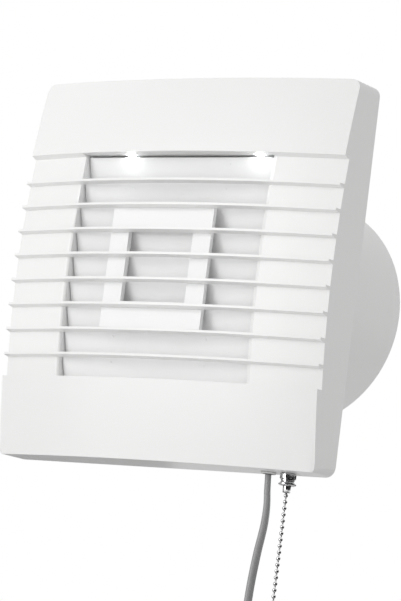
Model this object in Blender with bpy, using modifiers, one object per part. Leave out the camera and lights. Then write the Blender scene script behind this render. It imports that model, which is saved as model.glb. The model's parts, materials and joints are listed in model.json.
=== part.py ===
"""Square bathroom exhaust fan for a round wall duct, as separate pieces.

Seen from the room: +X is right, +Z is up, and the front faces -Y.
The wall is the plane Y = 0 and the duct runs into it along +Y.
The origin is the duct's axis in the plane of the wall.
"""
import math

import bmesh
import bpy
from mathutils import Matrix, Vector

mm = 0.001
clearance = 0.3 * mm          # gap that pieces in contact keep
through = 5 * mm              # how far a cutter stands out past what it cuts

# Front cover
cover_half_width = 96.4 * mm
cover_depth = 38.65 * mm      # at the crown of the front
cover_draft = 1.5 * mm        # each side is this much narrower at the front
front_radius = 443 * mm       # the front is domed alike across and up
crown_height = -2.0 * mm
cover_wall = 2.4 * mm
cover_corner = 4.5 * mm
cover_edge = 1.2 * mm
recess_depth = 4.2 * mm
opening_inset = 38.2 * mm     # from each side of the cover
opening_half_width = cover_half_width - opening_inset

# Fins across the recess
fin_count = 8
fin_pitch = 12.956 * mm
first_fin_height = 41.3 * mm
last_fin_height = first_fin_height - (fin_count - 1) * fin_pitch
fin_thickness = 1.2 * mm
top_gap = 14.9 * mm           # from the first fin up to the recess's edge
bottom_gap = 11.6 * mm
recess_top = first_fin_height + top_gap
recess_bottom = last_fin_height - bottom_gap
top_panel_height = 40.5 * mm
bottom_panel_height = 40.3 * mm
cover_top = recess_top + top_panel_height
cover_bottom = recess_bottom - bottom_panel_height

# Lamps under the lip of the top panel
left_lamp_inset = 26.7 * mm   # from the opening's left side
right_lamp_inset = 12.2 * mm
lamp_places = (left_lamp_inset - opening_half_width, opening_half_width - right_lamp_inset)
lamp_distance = 25.5 * mm     # from the wall
lamp_radius = 2.5 * mm
lamp_rise = 0.2 * mm          # how far the lamp shelf lies above the lip
shelf_thickness = 2.0 * mm
shelf_back = 21.5 * mm        # from the wall
lamp_board_thickness = 1.6 * mm
lamp_board_width = 5.6 * mm
lamp_board_overhang = 7 * mm  # past each lamp
lamp_recess = 1.5 * mm        # of the dome's rim in the shelf

# Duct collar, base plate and motor cup
duct_radius = 61.5 * mm
duct_wall = 2.5 * mm
duct_length = 108 * mm
plate_thickness = 3.0 * mm
plate_clearance = 0.7 * mm
wall_hole_radius = 2.5 * mm
wall_hole_inset = 13 * mm
cup_radius = 30 * mm
cup_wall = 3.0 * mm
cup_front = 36 * mm
cup_back = 74 * mm
cup_floor = 2.0 * mm
strut_count = 4
strut_thickness = 3.0 * mm
strut_depth = 16 * mm

# Motor
shaft_radius = 2.0 * mm
shaft_front = 1.0 * mm
bearing_radius = 4.0 * mm
bearing_length = 6.0 * mm
bearing_boss_radius = 7.0 * mm
stator_front = 45 * mm
stator_length = 20 * mm
rotor_radius = 13.2 * mm
air_gap = 0.8 * mm
rotor_overhang = 1.0 * mm
winding_length = 6.5 * mm
winding_wall = 10 * mm
motor_cap_thickness = 2.7 * mm
cap_boss_height = 2.0 * mm    # on each side of the cap
boss_height = 1.0 * mm        # of the cup's bearing boss, over the cup's floor
winding_setback = 2.0 * mm    # of the winding's front
shaft_setback = 1.0 * mm      # of the shaft's end in the cup
motor_screw_circle = cup_radius - 8.5 * mm
motor_screw_radius = 1.5 * mm
screw_head_radius = 2.8 * mm
screw_head_height = 1.8 * mm

# Impeller
vane_count = 7
vane_tip_gap = 2.0 * mm
vane_thickness = 1.6 * mm
vane_front = 5.5 * mm
vane_depth = 20 * mm
vane_turn = math.radians(44)
hub_radius = 20 * mm
hub_front = 4.0 * mm
hub_length = 23 * mm
hub_wall = 2.2 * mm
boss_setback = 3.0 * mm       # of the hub's boss, inside the hub
sweep_narrowing = 0.25        # of the vane's turn, out at its tip
tip_lead = 0.10               # radians that the tip runs ahead
tip_narrowing = 0.12          # of the vane's depth, out at its tip
hub_boss_radius = 5.5 * mm
clip_radius = 5.0 * mm
clip_thickness = 1.5 * mm

# Shutter
blade_count = 9
first_blade_height = first_fin_height + 13.7 * mm
last_blade_height = first_blade_height - (blade_count - 1) * fin_pitch
blade_length = 12.8 * mm
blade_thickness = 1.0 * mm
blade_setback = 5.1 * mm      # hinge line behind the recessed face
blade_offset = 1.8 * mm       # plate in front of its hinge line
blade_tilt = math.radians(20)  # from hanging, as the shutter stands at rest
blade_end_gap = 0.6 * mm
blade_tab_width = 1.2 * mm    # from the plate's end back to the pin
blade_tab_foot = 2.0 * mm     # under the hinge line
blade_notch_height = 3.0 * mm  # at the lower corners, clear of the next blade's tabs
surround_wall = 2.4 * mm
surround_top = first_blade_height + 12.4 * mm
surround_bottom = last_blade_height - 15.8 * mm
hinge_pin_radius = 0.8 * mm
pin_clearance = 0.3 * mm
lug_reach = 4.2 * mm
lug_half_width = 0.8 * mm
lug_half_height = 0.9 * mm
stud_drop = 2.4 * mm          # of the plain blades' studs, down the plate
stud_height = 1.0 * mm        # in front of the plate
stud_half_width = 0.5 * mm
left_lug = -28 * mm
right_lug = 28 * mm
link_right_lug = 21.5 * mm
lug_pin_half_length = 2.6 * mm
linked_blades = (3, 4, 5, 6)  # counted from 0 at the top
driver_blade = 4

# Link frame in front of the shutter
link_left = -34.0 * mm
link_right = 27.2 * mm
link_above = 12.4 * mm        # over the hinge line of its first blade
link_below = 11.5 * mm        # under the hinge line of its last blade
link_side_bar = 11.6 * mm
link_top_bar = 13.6 * mm
link_bottom_bar = 12.8 * mm
link_front = 31.65 * mm       # from the wall
link_thickness = 1.5 * mm
link_skirt_back = 28.6 * mm   # from the wall
link_skirt_width = 1.2 * mm
ear_wall = 0.3 * mm           # behind the lug pins' holes
ear_width = 1.8 * mm
ear_half_height = 2.4 * mm
slot_overrun = 2.0 * mm

# Side bar that turns all blades, and its actuator
crank_reach = 5.0 * mm
crank_half_width = 1.3 * mm
crank_thickness = 1.6 * mm
side_bar_half_width = 2.6 * mm
side_bar_thickness = 1.5 * mm
side_bar_foot = last_blade_height - 7.4 * mm
foot_overlap = 1.0 * mm
actuator_radius = 5.0 * mm
actuator_top = side_bar_foot - 10 * mm
actuator_length = 15 * mm
plunger_radius = 2.5 * mm
plunger_gap = 0.4 * mm
plunger_travel = 5.0 * mm
plunger_depth = 13.0 * mm     # of its bore in the actuator
bracket_share = 0.7           # of the actuator's radius, to each side
bracket_inset = 2.0 * mm

# Surround screws
ear_plate_reach = 9 * mm
ear_plate_thickness = 3.0 * mm
ear_plate_half_height = 5 * mm
ear_plate_height = 46 * mm

# Pull switch
switch_x = cover_half_width - 21.0 * mm
switch_distance = 9.0 * mm    # from the wall
switch_half_width = 6.5 * mm
switch_depth = 14.4 * mm
switch_height = 16.8 * mm
switch_edge = 0.8 * mm
bushing_radius = 3.0 * mm
bushing_bore = 1.45 * mm
bushing_depth = 3.0 * mm      # inside the switch
pocket_depth = 4.0 * mm
nut_radius = 4.15 * mm
nut_height = 2.8 * mm
waist_radius = 3.3 * mm
waist_height = 1.2 * mm
lip_height = 0.9 * mm
nozzle_flare = 0.9 * mm
lip_radius = 4.5 * mm
lip_drop = 5.9 * mm
nozzle_radius = 2.0 * mm
nozzle_drop = 10.4 * mm
bead_radius = 1.05 * mm
bead_pitch = 3.12 * mm
bead_neck = 0.45 * mm
bead_count = 26
pull_radius = 4.0 * mm
pull_length = 19 * mm
pull_outline = ((0.45, 0.0), (0.6, 0.2), (1.0, 0.75), (1.0, 0.92), (0.8, 1.0))  # shares, going down

# Mains lead
lead_width = 4.9 * mm
lead_exit = Vector((cover_half_width - 32.6 * mm, -9.0 * mm, 0))
lead_run = (                  # mm from the grommet, on the way down to the coil
    (0.0, 0.0, 0.0),
    (0.6, 0.0, -8.0),
    (1.4, 0.0, -16.0),
    (1.2, -0.2, -26.0),
    (-0.4, -0.8, -40.0),
    (-1.4, -1.8, -58.0),
    (-0.8, -3.2, -76.0),
    (1.6, -4.6, -94.0),
)
lead_approach = 9.0 * mm      # straight on into the coil
grommet_radius = 3.5 * mm
grommet_flange = 0.5 * mm     # wider than the grommet
grommet_chamfer = 0.3 * mm
grommet_lip = 0.7 * mm
inner_bends = (1.0 * mm, 2.0 * mm, 6.0 * mm, 0.5 * mm)  # left and up, twice, on the way to the terminals
coil_radius = 33.5 * mm
coil_step = 6.2 * mm          # between windings side by side, and between layers
coil_layers = 4
coil_turns = 1.42             # in each layer, besides the half turns between layers
coil_offset = Vector((-19.3, -5.0, -141.7)) * mm  # from the exit at the cover's underside
coil_centre = lead_exit + Vector((0, 0, cover_bottom)) + coil_offset
coil_entry = math.radians(35)
coil_points_per_turn = 24
tail_straight = 12.0 * mm
tail_route = (                # mm from the coil's end
    (0.0, 0.0, 0.0),
    (-4.5, 0.2, -12.0),
    (-7.2, 0.6, -24.0),
    (-8.2, 1.0, -36.0),
    (-8.3, 1.0, -47.0),
)
tie_width = 4.0 * mm
tie_thickness = 1.3 * mm
plug_length = 34 * mm
plug_half_width = 12.0 * mm
plug_half_depth = 6.6 * mm
plug_pin_radius = 2.0 * mm
plug_pin_length = 19 * mm
plug_pin_seat = 8 * mm        # inside the plug
plug_pin_taper = 1.0 * mm
plug_levels = (               # shares of the length, half width and half depth
    (0.0, 0.32, 0.55),
    (0.3, 0.55, 0.7),
    (0.62, 0.95, 1.0),
    (1.0, 1.0, 1.0),
)
plug_sides = 16
plug_pin_spacing = 18.6 * mm

# Terminals inside the cover
terminal_left = lead_exit.x - 45.8 * mm
terminal_width = 26 * mm
terminal_depth = 13 * mm
terminal_height = 15 * mm
terminal_centre = cover_bottom + 16.6 * mm
terminal_screw_shares = (0.27, 0.73)
terminal_screw_radius = 2.2 * mm
terminal_screw_height = 1.6 * mm
terminal_edge = 0.6 * mm
clamp_height = cover_bottom + 11.3 * mm
clamp_left_reach = 13 * mm    # from the lead's axis
clamp_right_reach = 4.6 * mm
clamp_half_height = 2.6 * mm
clamp_thickness = 2.0 * mm
clamp_edge = 0.5 * mm
clamp_screw_offset = 8.4 * mm
clamp_screw_radius = 1.2 * mm
clamp_head_radius = 2.2 * mm
clamp_head_height = 1.4 * mm

parts = None
cutters = None


def start_collections():
    """Empty the file and make the two collections."""
    global parts, cutters
    for obj in list(bpy.data.objects):
        bpy.data.objects.remove(obj, do_unlink=True)
    parts = bpy.data.collections.new("bathroom_exhaust_fan")
    cutters = bpy.data.collections.new("cutters")
    for collection in (parts, cutters):
        bpy.context.scene.collection.children.link(collection)


def make_material(name, colour, roughness, metallic=0.0):
    material = bpy.data.materials.new(name)
    material.use_nodes = True
    shader = material.node_tree.nodes["Principled BSDF"]
    shader.inputs["Base Color"].default_value = (*colour, 1.0)
    shader.inputs["Roughness"].default_value = roughness
    shader.inputs["Metallic"].default_value = metallic
    return material


def finish_mesh(bm, name):
    bmesh.ops.recalc_face_normals(bm, faces=bm.faces)
    mesh = bpy.data.meshes.new(name)
    bm.to_mesh(mesh)
    bm.free()
    mesh.shade_smooth()
    mesh.set_sharp_from_angle(angle=math.radians(30))
    return mesh


def add_part(name, mesh, material, location=(0, 0, 0)):
    obj = bpy.data.objects.new(name, mesh)
    obj.location = location
    if not mesh.materials:
        mesh.materials.append(material)
    parts.objects.link(obj)
    return obj


def add_cutter(name, mesh):
    obj = bpy.data.objects.new(name, mesh)
    obj.hide_render = True
    obj.display_type = "WIRE"
    cutters.objects.link(obj)
    return obj


def combine(target, operand, operation):
    modifier = target.modifiers.new(operation.lower(), "BOOLEAN")
    modifier.operation = operation
    modifier.solver = "EXACT"
    modifier.object = operand


def cut(target, meshes, name):
    """Take disjoint solids away from a part."""
    combine(target, add_cutter(name, merge_meshes(meshes, name)), "DIFFERENCE")


def join(target, meshes, name):
    """Fuse disjoint solids to a part."""
    combine(target, add_cutter(name, merge_meshes(meshes, name)), "UNION")


def merge_meshes(meshes, name):
    bm = bmesh.new()
    for mesh in meshes:
        bm.from_mesh(mesh)
    return finish_mesh(bm, name)


def bake(obj):
    """Give the evaluated mesh, with the modifiers in it."""
    graph = bpy.context.evaluated_depsgraph_get()
    return bpy.data.meshes.new_from_object(obj.evaluated_get(graph))


def box_mesh(x_range, y_range, z_range, bevel=0.0, tilt=0.0):
    """A box between two corners, tilted about X through the origin."""
    bm = bmesh.new()
    bmesh.ops.create_cube(bm, size=1.0)
    spans = (x_range, y_range, z_range)
    size = [high - low for low, high in spans]
    middle = [(high + low) / 2 for low, high in spans]
    bmesh.ops.scale(bm, vec=size, verts=bm.verts)
    bmesh.ops.translate(bm, vec=middle, verts=bm.verts)
    if bevel:
        bmesh.ops.bevel(bm, geom=bm.edges[:], offset=bevel, segments=2, affect="EDGES", profile=0.5)
    if tilt:
        bmesh.ops.rotate(bm, cent=(0, 0, 0), matrix=Matrix.Rotation(tilt, 3, "X"), verts=bm.verts)
    return finish_mesh(bm, "box")


AXES = {"X": Matrix.Rotation(math.pi / 2, 4, "Y"), "Y": Matrix.Rotation(-math.pi / 2, 4, "X"), "Z": Matrix()}


def rod_mesh(radius, start, end, centre, axis="Y", sides=16, far_radius=None):
    """A cylinder or cone along an axis, centre being its other two coordinates."""
    bm = bmesh.new()
    bmesh.ops.create_cone(
        bm, cap_ends=True, segments=sides, depth=end - start,
        radius1=radius, radius2=radius if far_radius is None else far_radius,
    )
    bmesh.ops.translate(bm, vec=(0, 0, (start + end) / 2), verts=bm.verts)
    bmesh.ops.transform(bm, matrix=AXES[axis], verts=bm.verts)
    offset = {"X": (0, *centre), "Y": (centre[0], 0, centre[1]), "Z": (*centre, 0)}[axis]
    bmesh.ops.translate(bm, vec=offset, verts=bm.verts)
    return finish_mesh(bm, "rod")


def turned_part(name, profile, material, centre, axis="Y", steps=24):
    """A closed profile of (radius, height) turned about an axis through centre."""
    mesh = bpy.data.meshes.new(name)
    corners = [Vector((radius, 0, height)) for radius, height in profile]
    edges = [(i, (i + 1) % len(corners)) for i in range(len(corners))]
    on_axis = profile[0][0] == 0 and profile[-1][0] == 0
    mesh.from_pydata(corners, edges[:-1] if on_axis else edges, [])
    obj = add_part(name, mesh, material)
    screw = obj.modifiers.new("turn", "SCREW")
    screw.steps = steps
    screw.render_steps = steps
    screw.use_merge_vertices = True
    screw.merge_threshold = 0.00001
    screw.use_normal_calculate = True
    mesh_done = bake(obj)
    bpy.data.objects.remove(obj, do_unlink=True)
    bm = bmesh.new()
    bm.from_mesh(mesh_done)
    bmesh.ops.remove_doubles(bm, verts=bm.verts, dist=0.000001)
    bmesh.ops.transform(bm, matrix=AXES[axis], verts=bm.verts)
    return add_part(name, finish_mesh(bm, name), material, centre)


def ring(name, outer, inner, start, end, material, centre=(0, 0, 0), axis="Y", steps=24):
    profile = [(outer, end), (outer, start), (inner, start), (inner, end)]
    return turned_part(name, profile, material, centre, axis, steps)


def outline_mesh(points, start, end, axis="X"):
    """A flat outline extruded along an axis; X takes (y, z) points, Y takes (x, z)."""
    curve = bpy.data.curves.new("outline", "CURVE")
    curve.dimensions = "2D"
    curve.fill_mode = "BOTH"
    curve.extrude = (end - start) / 2
    spline = curve.splines.new("POLY")
    spline.points.add(len(points) - 1)
    for point, (u, v) in zip(spline.points, points):
        point.co = (u, v, 0, 1)
    spline.use_cyclic_u = True
    obj = bpy.data.objects.new("outline", curve)
    bpy.context.scene.collection.objects.link(obj)
    mesh = bake(obj)
    bpy.data.objects.remove(obj, do_unlink=True)
    bm = bmesh.new()
    bm.from_mesh(mesh)
    bmesh.ops.remove_doubles(bm, verts=bm.verts, dist=0.000001)
    if axis == "X":
        turn = Matrix(((0, 0, 1), (1, 0, 0), (0, 1, 0)))
        shift = ((start + end) / 2, 0, 0)
    else:
        turn = Matrix(((1, 0, 0), (0, 0, -1), (0, 1, 0)))
        shift = (0, (start + end) / 2, 0)
    bmesh.ops.transform(bm, matrix=turn.to_4x4(), verts=bm.verts)
    bmesh.ops.translate(bm, vec=shift, verts=bm.verts)
    return finish_mesh(bm, "outline")


def front_depth(x, z):
    """How far the domed front stands out from the wall."""
    return cover_depth - (x * x + (z - crown_height) ** 2) / (2 * front_radius)


def recess_face(x, z):
    return front_depth(x, z) - recess_depth


def domed_mesh(x_range, z_range, front_offset, back_y=None, back_offset=None,
               draft=0.0, corner=0.0, edge=0.0, columns=12, rows=12):
    """A slab whose front follows the dome, and whose back is flat or follows it too."""
    bm = bmesh.new()
    bmesh.ops.create_grid(bm, x_segments=columns, y_segments=rows, size=0.5)
    bmesh.ops.rotate(bm, cent=(0, 0, 0), matrix=Matrix.Rotation(math.pi / 2, 3, "X"), verts=bm.verts)
    front = list(bm.verts)
    extruded = bmesh.ops.extrude_face_region(bm, geom=bm.faces[:])
    back = [item for item in extruded["geom"] if isinstance(item, bmesh.types.BMVert)]
    x_middle = sum(x_range) / 2
    z_middle = sum(z_range) / 2
    for verts, is_front in ((front, True), (back, False)):
        for vert in verts:
            narrow = draft if is_front else 0.0
            x = x_middle + vert.co.x * (x_range[1] - x_range[0] - 2 * narrow)
            z = z_middle + vert.co.z * (z_range[1] - z_range[0])
            if is_front:
                y = front_offset - front_depth(x, z)
            else:
                y = back_y if back_offset is None else back_offset - front_depth(x, z)
            vert.co = (x, y, z)
    bmesh.ops.recalc_face_normals(bm, faces=bm.faces)
    if corner:
        round_corners(bm, corner)
    if edge:
        round_front_edge(bm, edge)
    return finish_mesh(bm, "domed")


def is_sharp(bm_edge, least=math.radians(50)):
    return len(bm_edge.link_faces) == 2 and bm_edge.calc_face_angle() > least


def round_corners(bm, radius):
    """Round the four edges that run back to the wall."""
    edges = [e for e in bm.edges if is_sharp(e) and abs(e.verts[0].co.y - e.verts[1].co.y) > 5 * mm]
    bmesh.ops.bevel(bm, geom=edges, offset=radius, segments=3, affect="EDGES", profile=0.5)


def round_front_edge(bm, radius):
    front = [e for e in bm.edges if is_sharp(e) and max(v.co.y for v in e.verts) < -5 * mm]
    bmesh.ops.bevel(bm, geom=front, offset=radius, segments=2, affect="EDGES", profile=0.5)


def side_range(half):
    return (-half, half)


def fin_heights():
    return [first_fin_height - i * fin_pitch for i in range(fin_count)]


def make_front_cover(white):
    outer = domed_mesh(side_range(cover_half_width), (cover_bottom, cover_top), 0, back_y=0,
                       draft=cover_draft, corner=cover_corner, edge=cover_edge)
    cover = add_part("front_cover", outer, white)
    wide = side_range(cover_half_width + through)
    recess = domed_mesh(wide, (recess_bottom, recess_top), -through, back_offset=recess_depth, rows=10)
    cut(cover, [recess], "recess_cutter")
    inside = side_range(cover_half_width - cover_wall)
    inside_heights = (cover_bottom + cover_wall, cover_top - cover_wall)
    hollow = domed_mesh(inside, inside_heights, recess_depth + cover_wall, back_y=clearance,
                        draft=cover_draft, columns=10, rows=10)
    cut(cover, [hollow], "hollow_cutter")
    ledge = recess_top + cover_wall
    shelf_underside = recess_top + lamp_rise
    narrow = side_range(cover_half_width - cover_wall - cover_draft)
    top_pocket = domed_mesh(narrow, (ledge, cover_top - cover_wall), cover_wall,
                            back_offset=recess_depth + 2 * cover_wall, columns=10, rows=4)
    bottom_pocket = domed_mesh(narrow, (cover_bottom + cover_wall, recess_bottom - cover_wall), cover_wall,
                               back_offset=recess_depth + 2 * cover_wall, columns=10, rows=4)
    cut(cover, [top_pocket, bottom_pocket], "pocket_cutters")
    shelf = domed_mesh(side_range(opening_half_width - clearance),
                       (shelf_underside, shelf_underside + shelf_thickness),
                       cover_wall / 2, back_y=-shelf_back, columns=10, rows=1)
    join(cover, [shelf], "lamp_shelf")
    opening = box_mesh(side_range(opening_half_width), (-cover_depth - through, -plate_thickness),
                       (recess_bottom, recess_top))
    cut(cover, [opening], "opening_cutter")
    fins = [
        domed_mesh(side_range(cover_half_width - cover_draft),
                   (z - fin_thickness / 2, z + fin_thickness / 2),
                   0, back_offset=recess_depth + clearance, columns=12, rows=1)
        for z in fin_heights()
    ]
    join(cover, fins, "fins")
    holes = [
        rod_mesh(lamp_radius + clearance, shelf_underside - through,
                 shelf_underside + shelf_thickness + clearance, (x, -lamp_distance), "Z")
        for x in lamp_places
    ]
    floor_low = cover_bottom - through
    floor_high = cover_bottom + cover_wall + through
    lead_hole = rod_mesh(grommet_radius + clearance, floor_low, floor_high, lead_exit.xy, "Z", sides=12)
    switch_hole = rod_mesh(bushing_radius + clearance, floor_low, floor_high,
                           (switch_x, -switch_distance), "Z", sides=12)
    cut(cover, holes + [lead_hole, switch_hole], "cover_hole_cutters")
    return cover


def corner_points(inset_x, inset_top, inset_bottom):
    half = cover_half_width - cover_wall - inset_x
    top = cover_top - cover_wall - inset_top
    bottom = cover_bottom + cover_wall + inset_bottom
    return [(x, z) for x in (-half, half) for z in (bottom, top)]


def make_housing(white):
    half = cover_half_width - cover_wall - plate_clearance
    plate = add_part("housing", box_mesh(
        side_range(half), (-plate_thickness, 0),
        (cover_bottom + cover_wall + plate_clearance, cover_top - cover_wall - plate_clearance)), white)
    tube = rod_mesh(duct_radius, -plate_thickness / 2, duct_length, (0, 0), sides=40)
    join(plate, [tube], "duct_tube")
    bore = rod_mesh(duct_radius - duct_wall, -through, duct_length + through, (0, 0), sides=40)
    holes = [rod_mesh(wall_hole_radius, -through, through, point, sides=10)
             for point in corner_points(wall_hole_inset, wall_hole_inset, wall_hole_inset)]
    cut(plate, [bore] + holes, "housing_bores")
    cup = rod_mesh(cup_radius, cup_front, cup_back, (0, 0), sides=28)
    join(plate, [cup], "cup_outside")
    strut_back = cup_back - cup_floor
    for i in range(strut_count):
        angle = math.radians(45 + 360 / strut_count * i)
        strut = box_mesh((cup_radius - cup_wall / 2, duct_radius - duct_wall / 2),
                         (strut_back - strut_depth, strut_back),
                         side_range(strut_thickness / 2))
        strut.transform(Matrix.Rotation(angle, 4, "Y"))
        join(plate, [strut], "strut_%d" % (i + 1))
    cavity = rod_mesh(cup_radius - cup_wall, cup_front - through, cup_back - cup_floor, (0, 0), sides=28)
    cut(plate, [cavity], "cup_cavity")
    boss_front = cup_back - cup_floor - bearing_length + boss_height
    boss = rod_mesh(bearing_boss_radius, boss_front, cup_back - cup_floor / 2, (0, 0), sides=16)
    join(plate, [boss], "bearing_boss")
    seat = rod_mesh(bearing_radius + clearance, boss_front - through, cup_back + through, (0, 0), sides=16)
    screws = [rod_mesh(motor_screw_radius + clearance, -plate_thickness - through, through, point, sides=10)
              for point in surround_screw_points()]
    cut(plate, [seat] + screws, "seat_cutters")
    return plate


def make_motor(white, steel, copper):
    cup_inside = cup_radius - cup_wall
    stator_end = stator_front + stator_length
    rear_start = cup_back - bearing_length - clearance
    cap_back = cup_front - clearance
    cap_front = cap_back - motor_cap_thickness
    front_start = cap_front - cap_boss_height
    cap = ring("motor_cap", cup_radius, bearing_radius + clearance, cap_front, cap_back, white)
    cap_boss = rod_mesh(bearing_boss_radius, front_start, cap_back + cap_boss_height, (0, 0), sides=16)
    join(cap, [cap_boss], "cap_boss")
    cap_bore = rod_mesh(bearing_radius + clearance, cap_front - 2 * through, cup_front + through,
                        (0, 0), sides=16)
    screw_points = [(x, 0) for x in (-motor_screw_circle, motor_screw_circle)]
    screw_holes = [rod_mesh(motor_screw_radius + clearance, cap_front - through, cup_front + through,
                            point, sides=10) for point in screw_points]
    cut(cap, [cap_bore] + screw_holes, "cap_bores")
    for name, start in (("front_bearing", front_start), ("rear_bearing", rear_start)):
        ring(name, bearing_radius, shaft_radius + clearance, start, start + bearing_length, steel, steps=16)
    ring("stator", cup_inside - clearance, rotor_radius + air_gap, stator_front, stator_end, steel)
    winding_end = stator_front - clearance
    winding_start = winding_end - winding_length + winding_setback
    ring("winding", rotor_radius + air_gap + winding_wall, rotor_radius + air_gap,
         winding_start, winding_end, copper)
    ring("rotor", rotor_radius, shaft_radius + clearance, stator_front - rotor_overhang,
         stator_end + rotor_overhang, steel)
    shaft_end = cup_back - shaft_setback
    turned_part("shaft", [(0, shaft_end), (shaft_radius, shaft_end),
                          (shaft_radius, shaft_front), (0, shaft_front)], steel, (0, 0, 0), steps=12)
    boss_reach = winding_start - clearance
    for i, (x, z) in enumerate(screw_points):
        add_screw("motor_screw_%d" % (i + 1), (x, cap_front - clearance, z), boss_reach - cap_front, steel)


def add_screw(name, seat, length, material, radius=motor_screw_radius):
    """A pan head screw that points along +Y, its head in front of the seat."""
    x, y, z = seat
    profile = [(0, length), (radius, length), (radius, 0), (screw_head_radius, 0),
               (screw_head_radius, -screw_head_height), (0, -screw_head_height)]
    return turned_part(name, profile, material, (x, y, z), steps=10)


def vane_mesh(index):
    """One thin vane, swept round and back from the hub to near the duct wall."""
    tip = duct_radius - duct_wall - vane_tip_gap
    root = hub_radius - hub_wall / 2
    bm = bmesh.new()
    bmesh.ops.create_grid(bm, x_segments=3, y_segments=5, size=0.5)
    start = 2 * math.pi * index / vane_count
    for vert in bm.verts:
        across = vert.co.x + 0.5
        along = vert.co.y
        radius = root + (tip - root) * across
        angle = start + vane_turn * along * (1 - sweep_narrowing * across) + tip_lead * across
        y = vane_front + vane_depth * (0.5 + along * (1 - tip_narrowing * across))
        vert.co = (radius * math.cos(angle), y, radius * math.sin(angle))
    mesh = bpy.data.meshes.new("vane")
    bm.to_mesh(mesh)
    bm.free()
    obj = bpy.data.objects.new("vane", mesh)
    bpy.context.scene.collection.objects.link(obj)
    solid = obj.modifiers.new("thickness", "SOLIDIFY")
    solid.thickness = vane_thickness
    solid.offset = 0
    done = bake(obj)
    bpy.data.objects.remove(obj, do_unlink=True)
    return done


def make_impeller(grey, steel):
    end = hub_front + hub_length
    inner = hub_radius - hub_wall
    floor = hub_front + hub_wall
    bore = shaft_radius + clearance
    boss_end = end - boss_setback
    profile = [(hub_radius, end), (hub_radius, hub_front + hub_wall / 2),
               (hub_radius - hub_wall / 2, hub_front), (bore, hub_front), (bore, boss_end),
               (hub_boss_radius, boss_end), (hub_boss_radius, floor), (inner, floor), (inner, end)]
    impeller = turned_part("impeller", profile, grey, (0, 0, 0), steps=28)
    for i in range(vane_count):
        join(impeller, [vane_mesh(i)], "vane_%d" % (i + 1))
    inside = rod_mesh(inner, floor, end + through, (0, 0), sides=28)
    core = rod_mesh(hub_boss_radius + clearance, floor - through, end + 2 * through, (0, 0), sides=28)
    keep = add_cutter("hub_inside", inside)
    combine(keep, add_cutter("hub_core", core), "DIFFERENCE")
    combine(impeller, keep, "DIFFERENCE")
    ring("impeller_clip", clip_radius, bore, hub_front - clearance - clip_thickness, hub_front - clearance,
         steel, steps=14)


def hinge_height(index):
    return first_blade_height - index * fin_pitch


def hinge_depth(index):
    """The hinge line follows the dome, a little behind the recessed face."""
    return blade_setback - recess_face(opening_half_width, hinge_height(index))


def surround_screw_points():
    reach = opening_half_width + clearance + surround_wall + ear_plate_reach / 2
    return [(x, z) for x in (-reach, reach) for z in (-ear_plate_height, ear_plate_height)]


def make_surround(white, steel):
    inner = opening_half_width + clearance
    outer = inner + surround_wall
    back = -plate_thickness - clearance
    block = domed_mesh(side_range(outer), (surround_bottom, surround_top),
                       recess_depth + cover_wall + clearance, back_y=back, columns=8, rows=10)
    surround = add_part("shutter_surround", block, white)
    well = box_mesh(side_range(inner), (-cover_depth, through),
                    (surround_bottom + surround_wall, surround_top - surround_wall))
    cut(surround, [well], "surround_well")
    ear_ends = outer + ear_plate_reach
    ear_start = outer - surround_wall / 2
    ears = [
        box_mesh(x_range, (back - ear_plate_thickness, back),
                 (z - ear_plate_half_height, z + ear_plate_half_height))
        for x_range in ((-ear_ends, -ear_start), (ear_start, ear_ends))
        for z in (-ear_plate_height, ear_plate_height)
    ]
    join(surround, ears, "surround_ears")
    pins = [rod_mesh(hinge_pin_radius + pin_clearance, -outer - through, outer + through,
                     (hinge_depth(i), hinge_height(i)), "X", sides=10) for i in range(blade_count)]
    screws = [rod_mesh(motor_screw_radius + clearance, back - 2 * through, through, point, sides=10)
              for point in surround_screw_points()]
    cut(surround, pins + screws, "surround_holes")
    for i, (x, z) in enumerate(surround_screw_points()):
        add_screw("surround_screw_%d" % (i + 1), (x, back - ear_plate_thickness - clearance, z),
                  ear_plate_thickness + plate_thickness, steel)


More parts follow.
